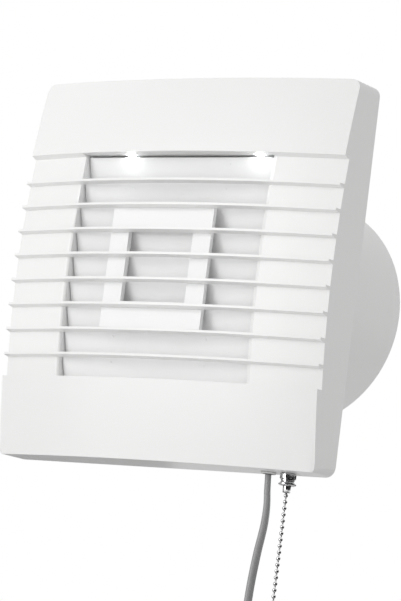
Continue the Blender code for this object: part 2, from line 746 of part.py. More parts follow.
def blade_mesh(lugs, pinned):
    """One shutter blade about its hinge line, tilted as it stands at rest."""
    inner = opening_half_width + clearance
    half = inner - blade_end_gap
    plate_back = blade_thickness / 2 - blade_offset
    plate = box_mesh(side_range(half), (plate_back - blade_thickness, plate_back),
                     (-blade_length, blade_thickness / 2), tilt=blade_tilt)
    blade = bpy.data.objects.new("blade", plate)
    bpy.context.scene.collection.objects.link(blade)
    crank_start = inner + surround_wall + clearance
    crank_end = crank_start + crank_thickness
    notch_inner = half - blade_tab_width - clearance
    notches = [box_mesh(x_range, (-blade_offset - through, -blade_offset + through),
                        (-blade_length - through, blade_notch_height - blade_length), tilt=blade_tilt)
               for x_range in ((-half - through, -notch_inner), (notch_inner, half + through))]
    cut(blade, notches, "blade_notches")
    tab_inner = half - blade_tab_width
    tab_top = hinge_pin_radius * 1.1
    tabs = [box_mesh(x_range, (-blade_offset * math.cos(blade_tilt), tab_top), (-blade_tab_foot, tab_top))
            for x_range in ((-half, -tab_inner), (tab_inner, half))]
    join(blade, tabs, "blade_tabs")
    pin_root = half - blade_tab_width / 2
    left_pin = rod_mesh(hinge_pin_radius, -inner - surround_wall, -pin_root, (0, 0), "X", sides=8)
    right_pin = rod_mesh(hinge_pin_radius, pin_root, crank_start + crank_thickness / 2, (0, 0), "X", sides=8)
    join(blade, [left_pin, right_pin], "blade_pins")
    crank = box_mesh((crank_start, crank_end), (-crank_half_width, crank_reach + crank_half_width),
                     side_range(crank_half_width))
    join(blade, [crank], "blade_crank")
    bar_end = crank_end + clearance + side_bar_thickness
    crank_pin = rod_mesh(hinge_pin_radius, crank_end - crank_thickness / 2, bar_end + clearance,
                         (crank_reach, 0), "X", sides=8)
    join(blade, [crank_pin], "crank_pin")
    if pinned:
        tip = lug_reach + lug_half_height
        root = plate_back * math.cos(blade_tilt)
        arms = [box_mesh((x - lug_half_width, x + lug_half_width), (-tip, root), side_range(lug_half_height))
                for x in lugs]
        join(blade, arms, "blade_lugs")
        pins = [rod_mesh(hinge_pin_radius, x - lug_pin_half_length, x + lug_pin_half_length,
                         (-lug_reach, 0), "X", sides=8) for x in lugs]
        join(blade, pins, "lug_pins")
    else:
        stud_front = plate_back - blade_thickness - stud_height
        studs = [box_mesh((x - stud_half_width, x + stud_half_width), (stud_front, -blade_offset),
                          (-stud_drop - lug_half_height, -stud_drop + lug_half_height), tilt=blade_tilt)
                 for x in lugs]
        join(blade, studs, "blade_studs")
    mesh = bake(blade)
    bpy.data.objects.remove(blade, do_unlink=True)
    mesh.shade_smooth()
    mesh.set_sharp_from_angle(angle=math.radians(30))
    return mesh


def make_blades(white):
    plain = blade_mesh((left_lug, right_lug), False)
    linked = blade_mesh((left_lug, link_right_lug), True)
    for i in range(blade_count):
        mesh = linked if i in linked_blades else plain
        add_part("shutter_blade_%d" % (i + 1), mesh, white, (0, hinge_depth(i), hinge_height(i)))


def make_link_frame(white):
    """The frame in front of the blades, built about its pin on the driver blade."""
    pivot = Vector((0, hinge_depth(driver_blade) - lug_reach, hinge_height(driver_blade)))
    front = -link_front
    back = front + link_thickness
    top = hinge_height(linked_blades[0]) + link_above
    bottom = hinge_height(linked_blades[-1]) - link_below
    plate = add_part("link_frame", box_mesh((link_left, link_right), (front, back), (bottom, top)), white)
    window_left = link_left + link_side_bar
    window_right = link_right - link_side_bar
    window = box_mesh((window_left, window_right), (front - through, back + through),
                      (bottom + link_bottom_bar, top - link_top_bar))
    cut(plate, [window], "link_window")
    outer_left = link_left + clearance
    outer_right = link_right - clearance - link_skirt_width
    skirts = [box_mesh((x, x + link_skirt_width), (back - clearance, -link_skirt_back), (bottom, top))
              for x in (outer_left, window_left - link_skirt_width, window_right, outer_right)]
    join(plate, skirts, "link_skirts")
    arm_clear = lug_half_width + 2 * clearance
    hole_radius = hinge_pin_radius + pin_clearance
    ear_reach = arm_clear + ear_width
    ears = []
    for i in linked_blades:
        z = hinge_height(i)
        ear_back = hinge_depth(i) - lug_reach + hole_radius + ear_wall
        ears += [box_mesh((x - ear_reach, x + ear_reach), (back - clearance, ear_back),
                          (z - ear_half_height, z + ear_half_height))
                 for x in (left_lug, link_right_lug)]
    join(plate, ears, "link_ears")
    slots = []
    holes = []
    arm_corner = math.hypot(lug_half_height, lug_half_height) + clearance
    for i in linked_blades:
        z = hinge_height(i)
        y = hinge_depth(i) - lug_reach
        for x in (left_lug, link_right_lug):
            slot_half_height = ear_half_height + slot_overrun
            slots.append(box_mesh((x - arm_clear, x + arm_clear), (y - arm_corner, y + 2 * through),
                                  (z - slot_half_height, z + slot_half_height)))
            holes.append(rod_mesh(hole_radius, x - lug_pin_half_length - clearance,
                                  x + lug_pin_half_length + clearance, (y, z), "X", sides=10))
    cut(plate, slots, "link_slots")
    cut(plate, holes, "link_holes")
    set_origin(plate, pivot)


def set_origin(obj, point):
    """Move the object's origin to its joint, leaving the shape where it is."""
    mesh = bake(obj)
    obj.modifiers.clear()
    material = obj.data.materials[0]
    mesh.transform(Matrix.Translation(-Vector(point)))
    obj.data = mesh
    if not mesh.materials:
        mesh.materials.append(material)
    obj.location = point


def side_bar_x():
    start = opening_half_width + 2 * clearance + surround_wall + crank_thickness + clearance
    return start, start + side_bar_thickness


def make_side_bar(white):
    start, end = side_bar_x()
    heights = [hinge_height(i) for i in range(blade_count)]
    depths = [hinge_depth(i) + crank_reach for i in range(blade_count)]
    heights = [heights[0] + side_bar_half_width] + heights + [side_bar_foot]
    depths = [depths[0]] + depths + [depths[-1]]
    front = [(y - side_bar_half_width, z) for y, z in zip(depths, heights)]
    back = [(y + side_bar_half_width, z) for y, z in zip(depths, heights)]
    bar = add_part("shutter_side_bar", outline_mesh(front + back[::-1], start, end), white)
    foot = box_mesh((start, start + 2 * plunger_radius),
                    (depths[-1] - side_bar_half_width, depths[-1] + side_bar_half_width),
                    (side_bar_foot - side_bar_thickness, side_bar_foot + foot_overlap))
    join(bar, [foot], "side_bar_foot")
    holes = [rod_mesh(hinge_pin_radius + pin_clearance, start - through, end + through,
                      (hinge_depth(i) + crank_reach, hinge_height(i)), "X", sides=8)
             for i in range(blade_count)]
    cut(bar, holes, "side_bar_holes")
    set_origin(bar, (0, hinge_depth(driver_blade) + crank_reach, hinge_height(driver_blade)))


def make_actuator(white, dark):
    x = side_bar_x()[0] + plunger_radius
    y = hinge_depth(blade_count - 1) + crank_reach
    bottom = actuator_top - actuator_length
    case = rod_mesh(actuator_radius, bottom, actuator_top, (x, y), "Z", sides=20)
    body = add_part("actuator_body", case, dark)
    reach = actuator_radius * bracket_share
    bracket = box_mesh((x - reach, x + reach), (y, -plate_thickness - clearance),
                       (bottom + bracket_inset, actuator_top - bracket_inset))
    join(body, [bracket], "actuator_bracket")
    bore_bottom = actuator_top - plunger_depth
    bore = rod_mesh(plunger_radius + clearance, bore_bottom, actuator_top + through, (x, y), "Z", sides=12)
    cut(body, [bore], "plunger_bore")
    top = side_bar_foot - side_bar_thickness - plunger_gap
    plunger_bottom = bore_bottom + plunger_travel
    plunger = [(0, top), (plunger_radius, top), (plunger_radius, plunger_bottom), (0, plunger_bottom)]
    turned_part("actuator_plunger", plunger, white, (x, y, 0), "Z", steps=12)


def make_lamps(clear, green):
    underside = recess_top + lamp_rise
    shelf_top = underside + shelf_thickness
    for name, x in zip(("lamp_left", "lamp_right"), lamp_places):
        dome = [(lamp_radius * math.cos(a), underside + lamp_recess - lamp_radius * math.sin(a))
                for a in (math.pi / 2 * k / 4 for k in range(5))]
        dome[-1] = (0, dome[-1][1])
        turned_part(name, [(0, shelf_top), (lamp_radius, shelf_top)] + dome, clear,
                    (x, -lamp_distance, 0), "Z", steps=16)
    board_bottom = shelf_top + clearance
    board = box_mesh((lamp_places[0] - lamp_board_overhang, lamp_places[1] + lamp_board_overhang),
                     (-lamp_distance - lamp_board_width / 2, -lamp_distance + lamp_board_width / 2),
                     (board_bottom, board_bottom + lamp_board_thickness))
    add_part("lamp_board", board, green)


def make_terminals(white, steel):
    back = -plate_thickness - clearance
    front = back - terminal_depth
    right = terminal_left + terminal_width
    heights = (terminal_centre - terminal_height / 2, terminal_centre + terminal_height / 2)
    block = add_part("terminal_block", box_mesh((terminal_left, right), (front, back), heights,
                                                bevel=terminal_edge), white)
    wells = []
    for i, share in enumerate(terminal_screw_shares):
        x = terminal_left + terminal_width * share
        wells.append(rod_mesh(terminal_screw_radius + clearance, front - through,
                              front + terminal_screw_height + clearance, (x, terminal_centre), sides=12))
        screw_back = front + terminal_screw_height
        turned_part("terminal_screw_%d" % (i + 1),
                    [(0, screw_back), (terminal_screw_radius, screw_back),
                     (terminal_screw_radius, front), (0, front)],
                    steel, (x, 0, terminal_centre), steps=12)
    cut(block, wells, "terminal_wells")
    x, y = lead_exit.xy
    lead_front = y - lead_width / 2
    outer = lead_front - clearance - clamp_thickness
    bridge_mesh = box_mesh((x - clamp_left_reach, x + clamp_right_reach), (outer, back),
                           (clamp_height - clamp_half_height, clamp_height + clamp_half_height),
                           bevel=clamp_edge)
    bridge = add_part("lead_clamp", bridge_mesh, white)
    gap = rod_mesh(lead_width / 2 + clearance, clamp_height - 2 * through, clamp_height + 2 * through,
                   (x, y), "Z", sides=12)
    slot = box_mesh(side_range(lead_width / 2 + clearance), (0, lead_width * 2),
                    side_range(3 * clamp_half_height))
    slot.transform(Matrix.Translation((x, y, clamp_height)))
    cut(bridge, [gap], "clamp_gap")
    cut(bridge, [slot], "clamp_slot")
    screw_x = x - clamp_screw_offset
    hole = rod_mesh(clamp_screw_radius + clearance, outer - through, through,
                    (screw_x, clamp_height), sides=10)
    cut(bridge, [hole], "clamp_screw_hole")
    under_head = outer - clearance
    profile = [(0, back), (clamp_screw_radius, back), (clamp_screw_radius, under_head),
               (clamp_head_radius, under_head), (clamp_head_radius, under_head - clamp_head_height),
               (0, under_head - clamp_head_height)]
    turned_part("clamp_screw", profile, steel, (screw_x, 0, clamp_height), steps=10)


def make_switch(chrome, dark):
    inside_bottom = cover_bottom + cover_wall
    bottom = inside_bottom + clearance
    back = -plate_thickness - clearance
    front = back - switch_depth
    case = box_mesh((switch_x - switch_half_width, switch_x + switch_half_width),
                    (front, back), (bottom, bottom + switch_height), bevel=switch_edge)
    body = add_part("switch_body", case, dark)
    pocket = rod_mesh(bushing_radius + clearance, bottom - through, bottom + pocket_depth,
                      (switch_x, -switch_distance), "Z", sides=12)
    cut(body, [pocket], "switch_pocket")
    start = cover_bottom - clearance
    under = start - nut_height
    ring("switch_nut", nut_radius, bushing_radius + clearance, under, start, chrome,
         (switch_x, -switch_distance, 0), "Z", steps=18)
    waist = under - clearance
    lip = cover_bottom - lip_drop
    nozzle = cover_bottom - nozzle_drop
    top = bottom + bushing_depth
    profile = [(bushing_bore, top), (bushing_radius, top), (bushing_radius, waist),
               (waist_radius, waist), (waist_radius, waist - waist_height),
               (lip_radius, lip + lip_height), (lip_radius, lip),
               (nozzle_radius + nozzle_flare, lip - nozzle_flare), (nozzle_radius, nozzle),
               (bushing_bore, nozzle)]
    turned_part("switch_bushing", profile, chrome, (switch_x, -switch_distance, 0), "Z", steps=18)


def chain_profile():
    """Beads on a thin neck, from the top down."""
    top = cover_bottom + cover_wall
    profile = [(0, top)]
    for i in range(bead_count):
        centre = top - bead_radius - i * bead_pitch
        for angle in (55, 0, -55):
            a = math.radians(angle)
            profile.append((bead_radius * math.cos(a), centre + bead_radius * math.sin(a)))
        if i < bead_count - 1:
            profile.append((bead_neck, centre - bead_pitch / 2))
    profile.append((0, top - bead_radius * 2 - (bead_count - 1) * bead_pitch))
    return profile


def make_chain(chrome, white):
    profile = chain_profile()
    centre = (switch_x, -switch_distance, 0)
    turned_part("pull_chain", profile, chrome, centre, "Z", steps=6)
    top = profile[-1][1] - clearance
    bell = [(0, top)]
    bell += [(pull_radius * wide, top - pull_length * down) for wide, down in pull_outline]
    bell.append((0, top - pull_length))
    turned_part("chain_pull", bell, white, centre, "Z", steps=16)


def smooth_route(points, per_span):
    """Points along a smooth curve through the route's own points."""
    ends = [2 * points[0] - points[1]] + list(points) + [2 * points[-1] - points[-2]]
    route = []
    for i in range(1, len(ends) - 2):
        a, b, c, d = ends[i - 1], ends[i], ends[i + 1], ends[i + 2]
        for k in range(per_span):
            t = k / per_span
            route.append(0.5 * (2 * b + (c - a) * t + (2 * a - 5 * b + 4 * c - d) * t * t
                                + (3 * b - a - 3 * c + d) * t ** 3))
    route.append(Vector(points[-1]))
    return route


def tube_part(name, points, radius, material, resolution):
    curve = bpy.data.curves.new(name, "CURVE")
    curve.dimensions = "3D"
    curve.bevel_depth = radius
    curve.bevel_resolution = resolution
    curve.use_fill_caps = True
    spline = curve.splines.new("POLY")
    spline.points.add(len(points) - 1)
    for point, place in zip(spline.points, points):
        point.co = (*place, 1)
    obj = bpy.data.objects.new(name, curve)
    bpy.context.scene.collection.objects.link(obj)
    mesh = bake(obj)
    bpy.data.objects.remove(obj, do_unlink=True)
    bm = bmesh.new()
    bm.from_mesh(mesh)
    bmesh.ops.remove_doubles(bm, verts=bm.verts, dist=0.000001)
    return add_part(name, finish_mesh(bm, name), material)


def coil_path():
    """Layers of one lead that spiral in and out by turns, with a half turn to climb each."""
    count = round(coil_turns * coil_points_per_turn)
    half_turn = coil_points_per_turn // 2
    draw_in = coil_step * count / coil_points_per_turn
    stations = []
    for layer in range(coil_layers):
        inward = layer % 2 == 0
        for k in range(count):
            share = k / count if inward else 1 - k / count
            stations.append((coil_radius - draw_in * share, layer))
        if layer == coil_layers - 1:
            break
        turning = coil_radius - draw_in if inward else coil_radius
        for k in range(half_turn):
            share = k / half_turn
            stations.append((turning, layer + 3 * share ** 2 - 2 * share ** 3))
    stations.append((coil_radius, coil_layers - 1))
    path = []
    for i, (radius, level) in enumerate(stations):
        angle = coil_entry - 2 * math.pi * i / coil_points_per_turn
        offset = Vector((radius * math.cos(angle), -level * coil_step, radius * math.sin(angle)))
        path.append(coil_centre + offset)
    return path


def least_gap(path, diameter):
    """The smallest distance between windings that aren't neighbours along the lead."""
    points = [Vector(p) for p in path]
    skip = coil_points_per_turn // 2
    count = len(points)
    best = min((points[i] - points[j]).length for i in range(count) for j in range(i + skip, count))
    return best - diameter


def lead_route(coil_start, coil_direction):
    """The lead's own points, from the grommet down to the coil."""
    top = lead_exit + Vector((0, 0, cover_bottom - grommet_lip - 2 * clearance))
    hand = [top + Vector(point) * mm for point in lead_run]
    return hand + [coil_start - coil_direction * lead_approach, coil_start - coil_direction * clearance]


def make_lead(grey, white, steel):
    radius = lead_width / 2
    path = coil_path()
    print("mains lead: least gap between windings %.2f mm" % (least_gap(path, lead_width) / mm))
    entry = (path[1] - path[0]).normalized()
    tube_part("mains_lead", smooth_route(lead_route(path[0], entry), 4), radius, grey, 2)
    tube_part("mains_lead_coil", path, radius, grey, 1)
    leave = (path[-1] - path[-2]).normalized()
    start = path[-1] + leave * clearance
    tail = [start + Vector(point) * mm for point in tail_route]
    tail[1] = start + leave * tail_straight
    tube_part("mains_lead_tail", smooth_route(tail, 4), radius, grey, 2)
    make_plug(tail[-1], white, steel)
    make_tie(white)
    x, y = lead_exit.xy
    inside_bottom = cover_bottom + cover_wall
    flange = cover_bottom - clearance
    bore = lead_width / 2 + clearance
    grommet_top = inside_bottom + clearance
    wide = grommet_radius + grommet_flange
    profile = [(bore, grommet_top), (grommet_radius, grommet_top), (grommet_radius, flange), (wide, flange),
               (wide - grommet_chamfer, flange - grommet_lip), (bore, flange - grommet_lip)]
    turned_part("lead_grommet", profile, white, (x, y, 0), "Z", steps=16)
    inner_top = clamp_height + clamp_half_height
    bend_x, bend_z, level_x, level_z = inner_bends
    inner = [Vector((x, y, cover_bottom - grommet_lip - clearance)), Vector((x, y, clamp_height)),
             Vector((x - bend_x, y, inner_top + bend_z)),
             Vector((x - level_x, y, terminal_centre + level_z)),
             Vector((terminal_left + terminal_width + clearance, y, terminal_centre))]
    tube_part("inner_lead", smooth_route(inner, 4), radius, grey, 2)


def make_plug(top, white, steel):
    x, y, z = top
    high = z - clearance
    low = high - plug_length
    body = domed_plug(x, y, high, low)
    plug = add_part("plug_body", body, white)
    pin_top = low + plug_pin_seat
    points = [(x + side * plug_pin_spacing / 2, y) for side in (-1, 1)]
    holes = [rod_mesh(plug_pin_radius + clearance, low - through, pin_top + clearance, point, "Z", sides=12)
             for point in points]
    cut(plug, holes, "plug_pin_holes")
    for i, point in enumerate(points):
        tip = low - plug_pin_length
        profile = [(0, pin_top), (plug_pin_radius, pin_top), (plug_pin_radius, tip + plug_pin_taper),
                   (plug_pin_radius - plug_pin_taper, tip), (0, tip)]
        turned_part("plug_pin_%d" % (i + 1), profile, steel, (*point, 0), "Z", steps=12)


def domed_plug(x, y, high, low):
    """A flat moulded plug body that tapers up to its lead."""
    bm = bmesh.new()
    loops = []
    for share, wide, deep in plug_levels:
        z = high + (low - high) * share
        half_x, half_y = plug_half_width * wide, plug_half_depth * deep
        straight = max(half_x - half_y, 0.0)
        loop = []
        for k in range(plug_sides):
            angle = 2 * math.pi * (k + 0.5) / plug_sides
            side = math.copysign(straight, math.cos(angle))
            radius = min(half_x, half_y)
            loop.append(bm.verts.new((x + side + radius * math.cos(angle), y + half_y * math.sin(angle), z)))
        loops.append(loop)
    for upper, lower in zip(loops, loops[1:]):
        for k in range(plug_sides):
            after = (k + 1) % plug_sides
            bm.faces.new((upper[k], upper[after], lower[after], lower[k]))
    bm.faces.new(loops[0])
    bm.faces.new(loops[-1][::-1])
    return finish_mesh(bm, "plug")


def make_tie(white):
    """A band round the whole bundle, on its left."""
    inner = coil_radius - coil_step * coil_turns
    gap = lead_width / 2 + clearance
    low_x, high_x = coil_centre.x - coil_radius - gap, coil_centre.x - inner + gap
    front, back = coil_centre.y - (coil_layers - 1) * coil_step - gap, coil_centre.y + gap
    middle = coil_centre.z
    height = (middle - tie_width / 2, middle + tie_width / 2)
    band = add_part("coil_tie", box_mesh((low_x - tie_thickness, high_x + tie_thickness),
                                         (front - tie_thickness, back + tie_thickness), height), white)
    inside = box_mesh((low_x, high_x), (front, back), (height[0] - through, height[1] + through))
    cut(band, [inside], "tie_inside")


def build():
    start_collections()
    white = make_material("white_moulding", (0.82, 0.82, 0.82), 0.32)
    shutter_white = make_material("shutter_moulding", (0.80, 0.80, 0.80), 0.38)
    grey = make_material("grey_moulding", (0.62, 0.63, 0.64), 0.45)
    dark = make_material("dark_moulding", (0.06, 0.06, 0.065), 0.5)
    steel = make_material("zinc_steel", (0.62, 0.62, 0.60), 0.35, 1.0)
    laminated = make_material("laminated_steel", (0.28, 0.28, 0.29), 0.5, 1.0)
    copper = make_material("copper_winding", (0.72, 0.35, 0.18), 0.35, 1.0)
    chrome = make_material("chrome", (0.78, 0.78, 0.78), 0.12, 1.0)
    lead_grey = make_material("lead_sheath", (0.34, 0.34, 0.34), 0.42)
    lens = make_material("lamp_lens", (0.95, 0.97, 1.0), 0.1)
    board = make_material("lamp_board", (0.05, 0.25, 0.12), 0.4)
    make_front_cover(white)
    make_housing(white)
    make_motor(grey, laminated, copper)
    make_impeller(grey, steel)
    make_surround(shutter_white, steel)
    make_blades(shutter_white)
    make_link_frame(shutter_white)
    make_side_bar(shutter_white)
    make_actuator(white, dark)
    make_lamps(lens, board)
    make_terminals(white, steel)
    make_switch(chrome, dark)
    make_chain(chrome, white)
    make_lead(lead_grey, white, chrome)


build()
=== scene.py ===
import json
from math import asin, copysign, cos, pi, radians, sin, sqrt

import bmesh
import bpy
from mathutils import Matrix, Vector


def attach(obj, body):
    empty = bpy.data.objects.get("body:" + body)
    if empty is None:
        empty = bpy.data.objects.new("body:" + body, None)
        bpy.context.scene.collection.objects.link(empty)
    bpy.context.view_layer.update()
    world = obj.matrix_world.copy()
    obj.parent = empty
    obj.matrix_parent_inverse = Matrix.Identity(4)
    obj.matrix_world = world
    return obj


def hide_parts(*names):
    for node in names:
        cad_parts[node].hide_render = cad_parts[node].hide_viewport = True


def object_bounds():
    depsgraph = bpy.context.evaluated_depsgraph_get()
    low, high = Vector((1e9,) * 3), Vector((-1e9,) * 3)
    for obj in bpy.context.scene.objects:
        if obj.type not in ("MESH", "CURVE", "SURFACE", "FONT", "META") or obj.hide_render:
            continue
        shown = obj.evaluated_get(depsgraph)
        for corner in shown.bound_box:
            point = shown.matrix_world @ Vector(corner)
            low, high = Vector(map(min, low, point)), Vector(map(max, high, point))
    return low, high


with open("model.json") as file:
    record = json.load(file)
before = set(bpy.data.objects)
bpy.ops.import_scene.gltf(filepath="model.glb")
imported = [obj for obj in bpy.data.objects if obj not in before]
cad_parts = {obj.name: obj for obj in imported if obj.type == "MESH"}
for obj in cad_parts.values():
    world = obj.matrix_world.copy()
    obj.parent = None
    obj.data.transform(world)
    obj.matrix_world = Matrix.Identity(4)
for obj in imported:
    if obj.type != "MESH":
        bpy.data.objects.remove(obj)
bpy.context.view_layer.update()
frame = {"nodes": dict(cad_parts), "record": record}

mm = 0.001
tiny = 1e-7    # metres between points that are one
through = 5.0  # millimetres by which a cut reaches past what it cuts
fit = 0.3      # millimetres of overlap or play between solids
cad = frame["nodes"]
scene = bpy.context.scene
print("frame loaded:", len(cad), "nodes")


# camera, set where the photograph was taken from
camera = {
    "place": (0.8589, -1.31404, -0.2605),
    "rows": (
        (0.842605, -0.022065, 0.538079),
        (0.523905, -0.197703, -0.828515),
        (0.124661, 0.980014, -0.155026),
    ),
    "lens": 185.69,
    "shift": (-0.0002, 0.0015),
}
cameraData = bpy.data.cameras.new("camera")
cameraData.lens = camera["lens"]
cameraData.sensor_width = 36
cameraData.shift_x, cameraData.shift_y = camera["shift"]
cameraData.clip_end = 50
cameraObject = bpy.data.objects.new("camera", cameraData)
cameraObject.matrix_world = Matrix.Translation(camera["place"]) @ Matrix(camera["rows"]).to_4x4()
scene.collection.objects.link(cameraObject)
scene.camera = cameraObject


# shader kit: maths on sockets is written as plain sums
class Wire:
    def __init__(self, graph, socket):
        self.graph = graph
        self.socket = socket

    def maths(self, operation, first, second=0.0):
        return self.graph.node("ShaderNodeMath", {"operation": operation}, {0: first, 1: second})

    def beside(self, output):
        return Wire(self.graph, self.socket.node.outputs[output])

    def __add__(self, other):
        return self.maths("ADD", self, other)

    def __mul__(self, other):
        return self.maths("MULTIPLY", self, other)

    __radd__ = __add__
    __rmul__ = __mul__


class Graph:
    def __init__(self, tree):
        self.tree = tree

    def node(self, kind, settings=None, inputs=None, output=0):
        made = self.tree.nodes.new(kind)
        for key, value in (settings or {}).items():
            setattr(made, key, value)
        self.fill(made, inputs or {})
        return Wire(self, made.outputs[output])

    def fill(self, made, inputs):
        for key, value in inputs.items():
            if isinstance(value, Wire):
                self.tree.links.new(value.socket, made.inputs[key])
            else:
                made.inputs[key].default_value = value


class Finish(Graph):
    def __init__(self, name, colour, roughness, metallic=0.0, **fixed):
        self.material = bpy.data.materials.new(name)
        self.material.use_nodes = True
        super().__init__(self.material.node_tree)
        self.shader = self.tree.nodes["Principled BSDF"]
        self.set({"Base Color": (*colour, 1), "Roughness": roughness, "Metallic": metallic, **fixed})
        self.place = self.node("ShaderNodeTexCoord", output="Object")

    def set(self, inputs):
        self.fill(self.shader, inputs)

    def stretched(self, shares):
        return self.node("ShaderNodeVectorMath", {"operation": "MULTIPLY"}, {0: self.place, 1: shares})

    def noise(self, scale, detail, stretch=None):
        where = self.stretched(stretch) if stretch else self.place
        return self.node("ShaderNodeTexNoise", None, {"Vector": where, "Scale": scale, "Detail": detail})

    def blendColour(self, share, first, second):
        chosen = {"data_type": "RGBA"}
        return self.node("ShaderNodeMix", chosen, {0: share, 6: (*first, 1), 7: (*second, 1)}, output=2)

    def bump(self, height, depth, strength, under=None):
        inputs = {"Height": height, "Distance": depth * mm, "Strength": strength}
        if under:
            inputs["Normal"] = under
        return self.node("ShaderNodeBump", None, inputs)


def scaled(colour, share):
    return tuple(part * share for part in colour)


# moulded plastic: slow drift of the tone, faint flow lines and a fine orange peel
def plastic(name, colour, roughness, grain=1400, grainDepth=0.012):
    finish = Finish(name, colour, roughness)
    slow = finish.noise(14, 3)
    fine = finish.noise(grain, 2)
    flow = finish.noise(60, 2, stretch=(1, 1, 0.25))
    finish.set({
        "Base Color": finish.blendColour(slow, scaled(colour, 0.97), colour),
        "Roughness": roughness - 0.06 + slow * 0.08 + flow * 0.06,
        "Normal": finish.bump(fine, grainDepth, 0.5, under=finish.bump(flow, 0.06, 0.25)),
    })
    return finish


def metal(name, colour, roughness, stretch=None, depth=0.01):
    finish = Finish(name, colour, roughness, 1.0)
    brushed = finish.noise(900, 4, stretch)
    smear = finish.noise(80, 3)
    finish.set({
        "Base Color": finish.blendColour(smear, scaled(colour, 0.88), colour),
        "Roughness": roughness - 0.05 + brushed * 0.06 + smear * 0.06,
        "Normal": finish.bump(brushed, depth, 0.4),
    })
    return finish


def laminatedFinish():
    colour = (0.30, 0.30, 0.31)
    finish = Finish("laminatedSteel", colour, 0.5, 1.0)
    sheets = finish.node("ShaderNodeTexWave", {"bands_direction": "Y"},
                         {"Vector": finish.place, "Scale": 300, "Distortion": 0.2}, output="Fac")
    smear = finish.noise(150, 3)
    finish.set({
        "Base Color": finish.blendColour(smear * 0.6 + sheets * 0.4, scaled(colour, 0.55), colour),
        "Roughness": 0.4 + smear * 0.2,
        "Normal": finish.bump(sheets, 0.08, 0.8),
    })
    return finish


def windingFinish():
    colour = (0.70, 0.31, 0.14)
    finish = Finish("copperWinding", colour, 0.3, 1.0)
    depth = finish.node("ShaderNodeSeparateXYZ", None, {"Vector": finish.place}, output="Y")
    flat = finish.stretched((1, 0, 1))
    reach = finish.node("ShaderNodeVectorMath", {"operation": "LENGTH"}, {0: flat}, output="Value")
    turns = reach.maths("SINE", (reach + depth) * 14000)
    smear = finish.noise(300, 2)
    finish.set({
        "Base Color": finish.blendColour(turns * 0.35 + smear * 0.5, scaled(colour, 0.4), colour),
        "Roughness": 0.22 + smear * 0.2,
        "Normal": finish.bump(turns, 0.12, 0.9),
    })
    return finish


# flexible sheath: its dark grey is painted shade on a pale cord; a soft mottling, and a fine grain
def sheathFinish():
    colour = (0.335, 0.335, 0.34)
    finish = Finish("leadSheathPaintedShade", colour, 0.42)
    mottle = finish.noise(160, 3)
    fine = finish.noise(2600, 1)
    finish.set({
        "Base Color": finish.blendColour(mottle, scaled(colour, 0.93), scaled(colour, 1.04)),
        "Roughness": 0.36 + mottle * 0.12,
        "Normal": finish.bump(fine, 0.015, 0.5),
    })
    return finish


def lampFinish():
    finish = Finish("lampLens", (0.95, 0.97, 1.0), 0.08, **{"Emission Strength": 26.0})
    glow = finish.noise(500, 1)
    finish.set({"Emission Color": finish.blendColour(glow, (0.93, 0.97, 1.0), (1.0, 1.0, 1.0))})
    return finish


def boardFinish():
    mask, track = (0.02, 0.16, 0.07), (0.05, 0.28, 0.12)
    finish = Finish("lampBoard", mask, 0.35)
    lines = finish.node("ShaderNodeTexBrick", None, {"Vector": finish.place, "Scale": 260}, output="Fac")
    finish.set({
        "Base Color": finish.blendColour(lines, mask, track),
        "Roughness": 0.3 + lines * 0.15,
        "Normal": finish.bump(lines, 0.05, 0.7),
    })
    return finish


finishes = {
    "white_moulding": plastic("whiteMoulding", (0.92, 0.92, 0.914), 0.34),
    # the shutter's white is set brighter than the cover's: painted light, standing in for the light that the
    # deep recess keeps from the blades
    "shutter_moulding": plastic("shutterMouldingPaintedLight", (0.97, 0.97, 0.97), 0.42, grain=1800),
    # a darker copy of the shutter's white for the link frame: painted shade
    "link_painted_shade": plastic("linkPaintedShade", (0.93, 0.93, 0.93), 0.42, grain=1800),
    "terminal_moulding": plastic("terminalMoulding", (0.78, 0.78, 0.77), 0.48, grain=2200),
    "tie_nylon": plastic("tieNylon", (0.76, 0.76, 0.74), 0.4, grain=1500),
    "grey_moulding": plastic("greyMoulding", (0.62, 0.63, 0.64), 0.5, grain=2400, grainDepth=0.03),
    "dark_moulding": plastic("darkMoulding", (0.045, 0.045, 0.048), 0.5, grain=2400, grainDepth=0.03),
    "zinc_steel": metal("zincSteel", (0.66, 0.67, 0.66), 0.34, (1, 1, 0.1)),
    "chrome": metal("chromePlate", (0.80, 0.80, 0.81), 0.1, depth=0.002),
    "laminated_steel": laminatedFinish(),
    "copper_winding": windingFinish(),
    "lead_sheath": sheathFinish(),
    "lamp_lens": lampFinish(),
    "lamp_board": boardFinish(),
}
print("finishes made:", len(finishes))


# mesh kit: sizes go in as millimetres and come out as metres
axisTurns = {
    "X": Matrix.Rotation(pi / 2, 4, "Y"),
    "Y": Matrix.Rotation(-pi / 2, 4, "X"),
    "Z": Matrix(),
}


def toMetres(points):
    return [tuple(part * mm for part in point) for point in points]


# corners of a flat outline turned into short curves
def filleted(points, radius, segments=4, closed=True):
    rounded = []
    for i, point in enumerate(points):
        corner = Vector(point)
        if not closed and i in (0, len(points) - 1):
            rounded.append(tuple(corner))
            continue
        before = Vector(points[i - 1]) - corner
        after = Vector(points[(i + 1) % len(points)]) - corner
        reach = min(radius, before.length * 0.45, after.length * 0.45)
        start = corner + before.normalized() * reach
        end = corner + after.normalized() * reach
        for k in range(segments + 1):
            t = k / segments
            rounded.append(tuple(start * (1 - t) ** 2 + corner * 2 * t * (1 - t) + end * t * t))
    return rounded


# faces between loops that follow each other; a loop may be one point many times
def skin(bm, loops, ring=False):
    for lower, upper in zip(loops, loops[1:] + (loops[:1] if ring else [])):
        for k in range(len(lower)):
            after = (k + 1) % len(lower)
            corners = list(dict.fromkeys([lower[k], lower[after], upper[after], upper[k]]))
            if len(corners) > 2:
                bm.faces.new(corners)


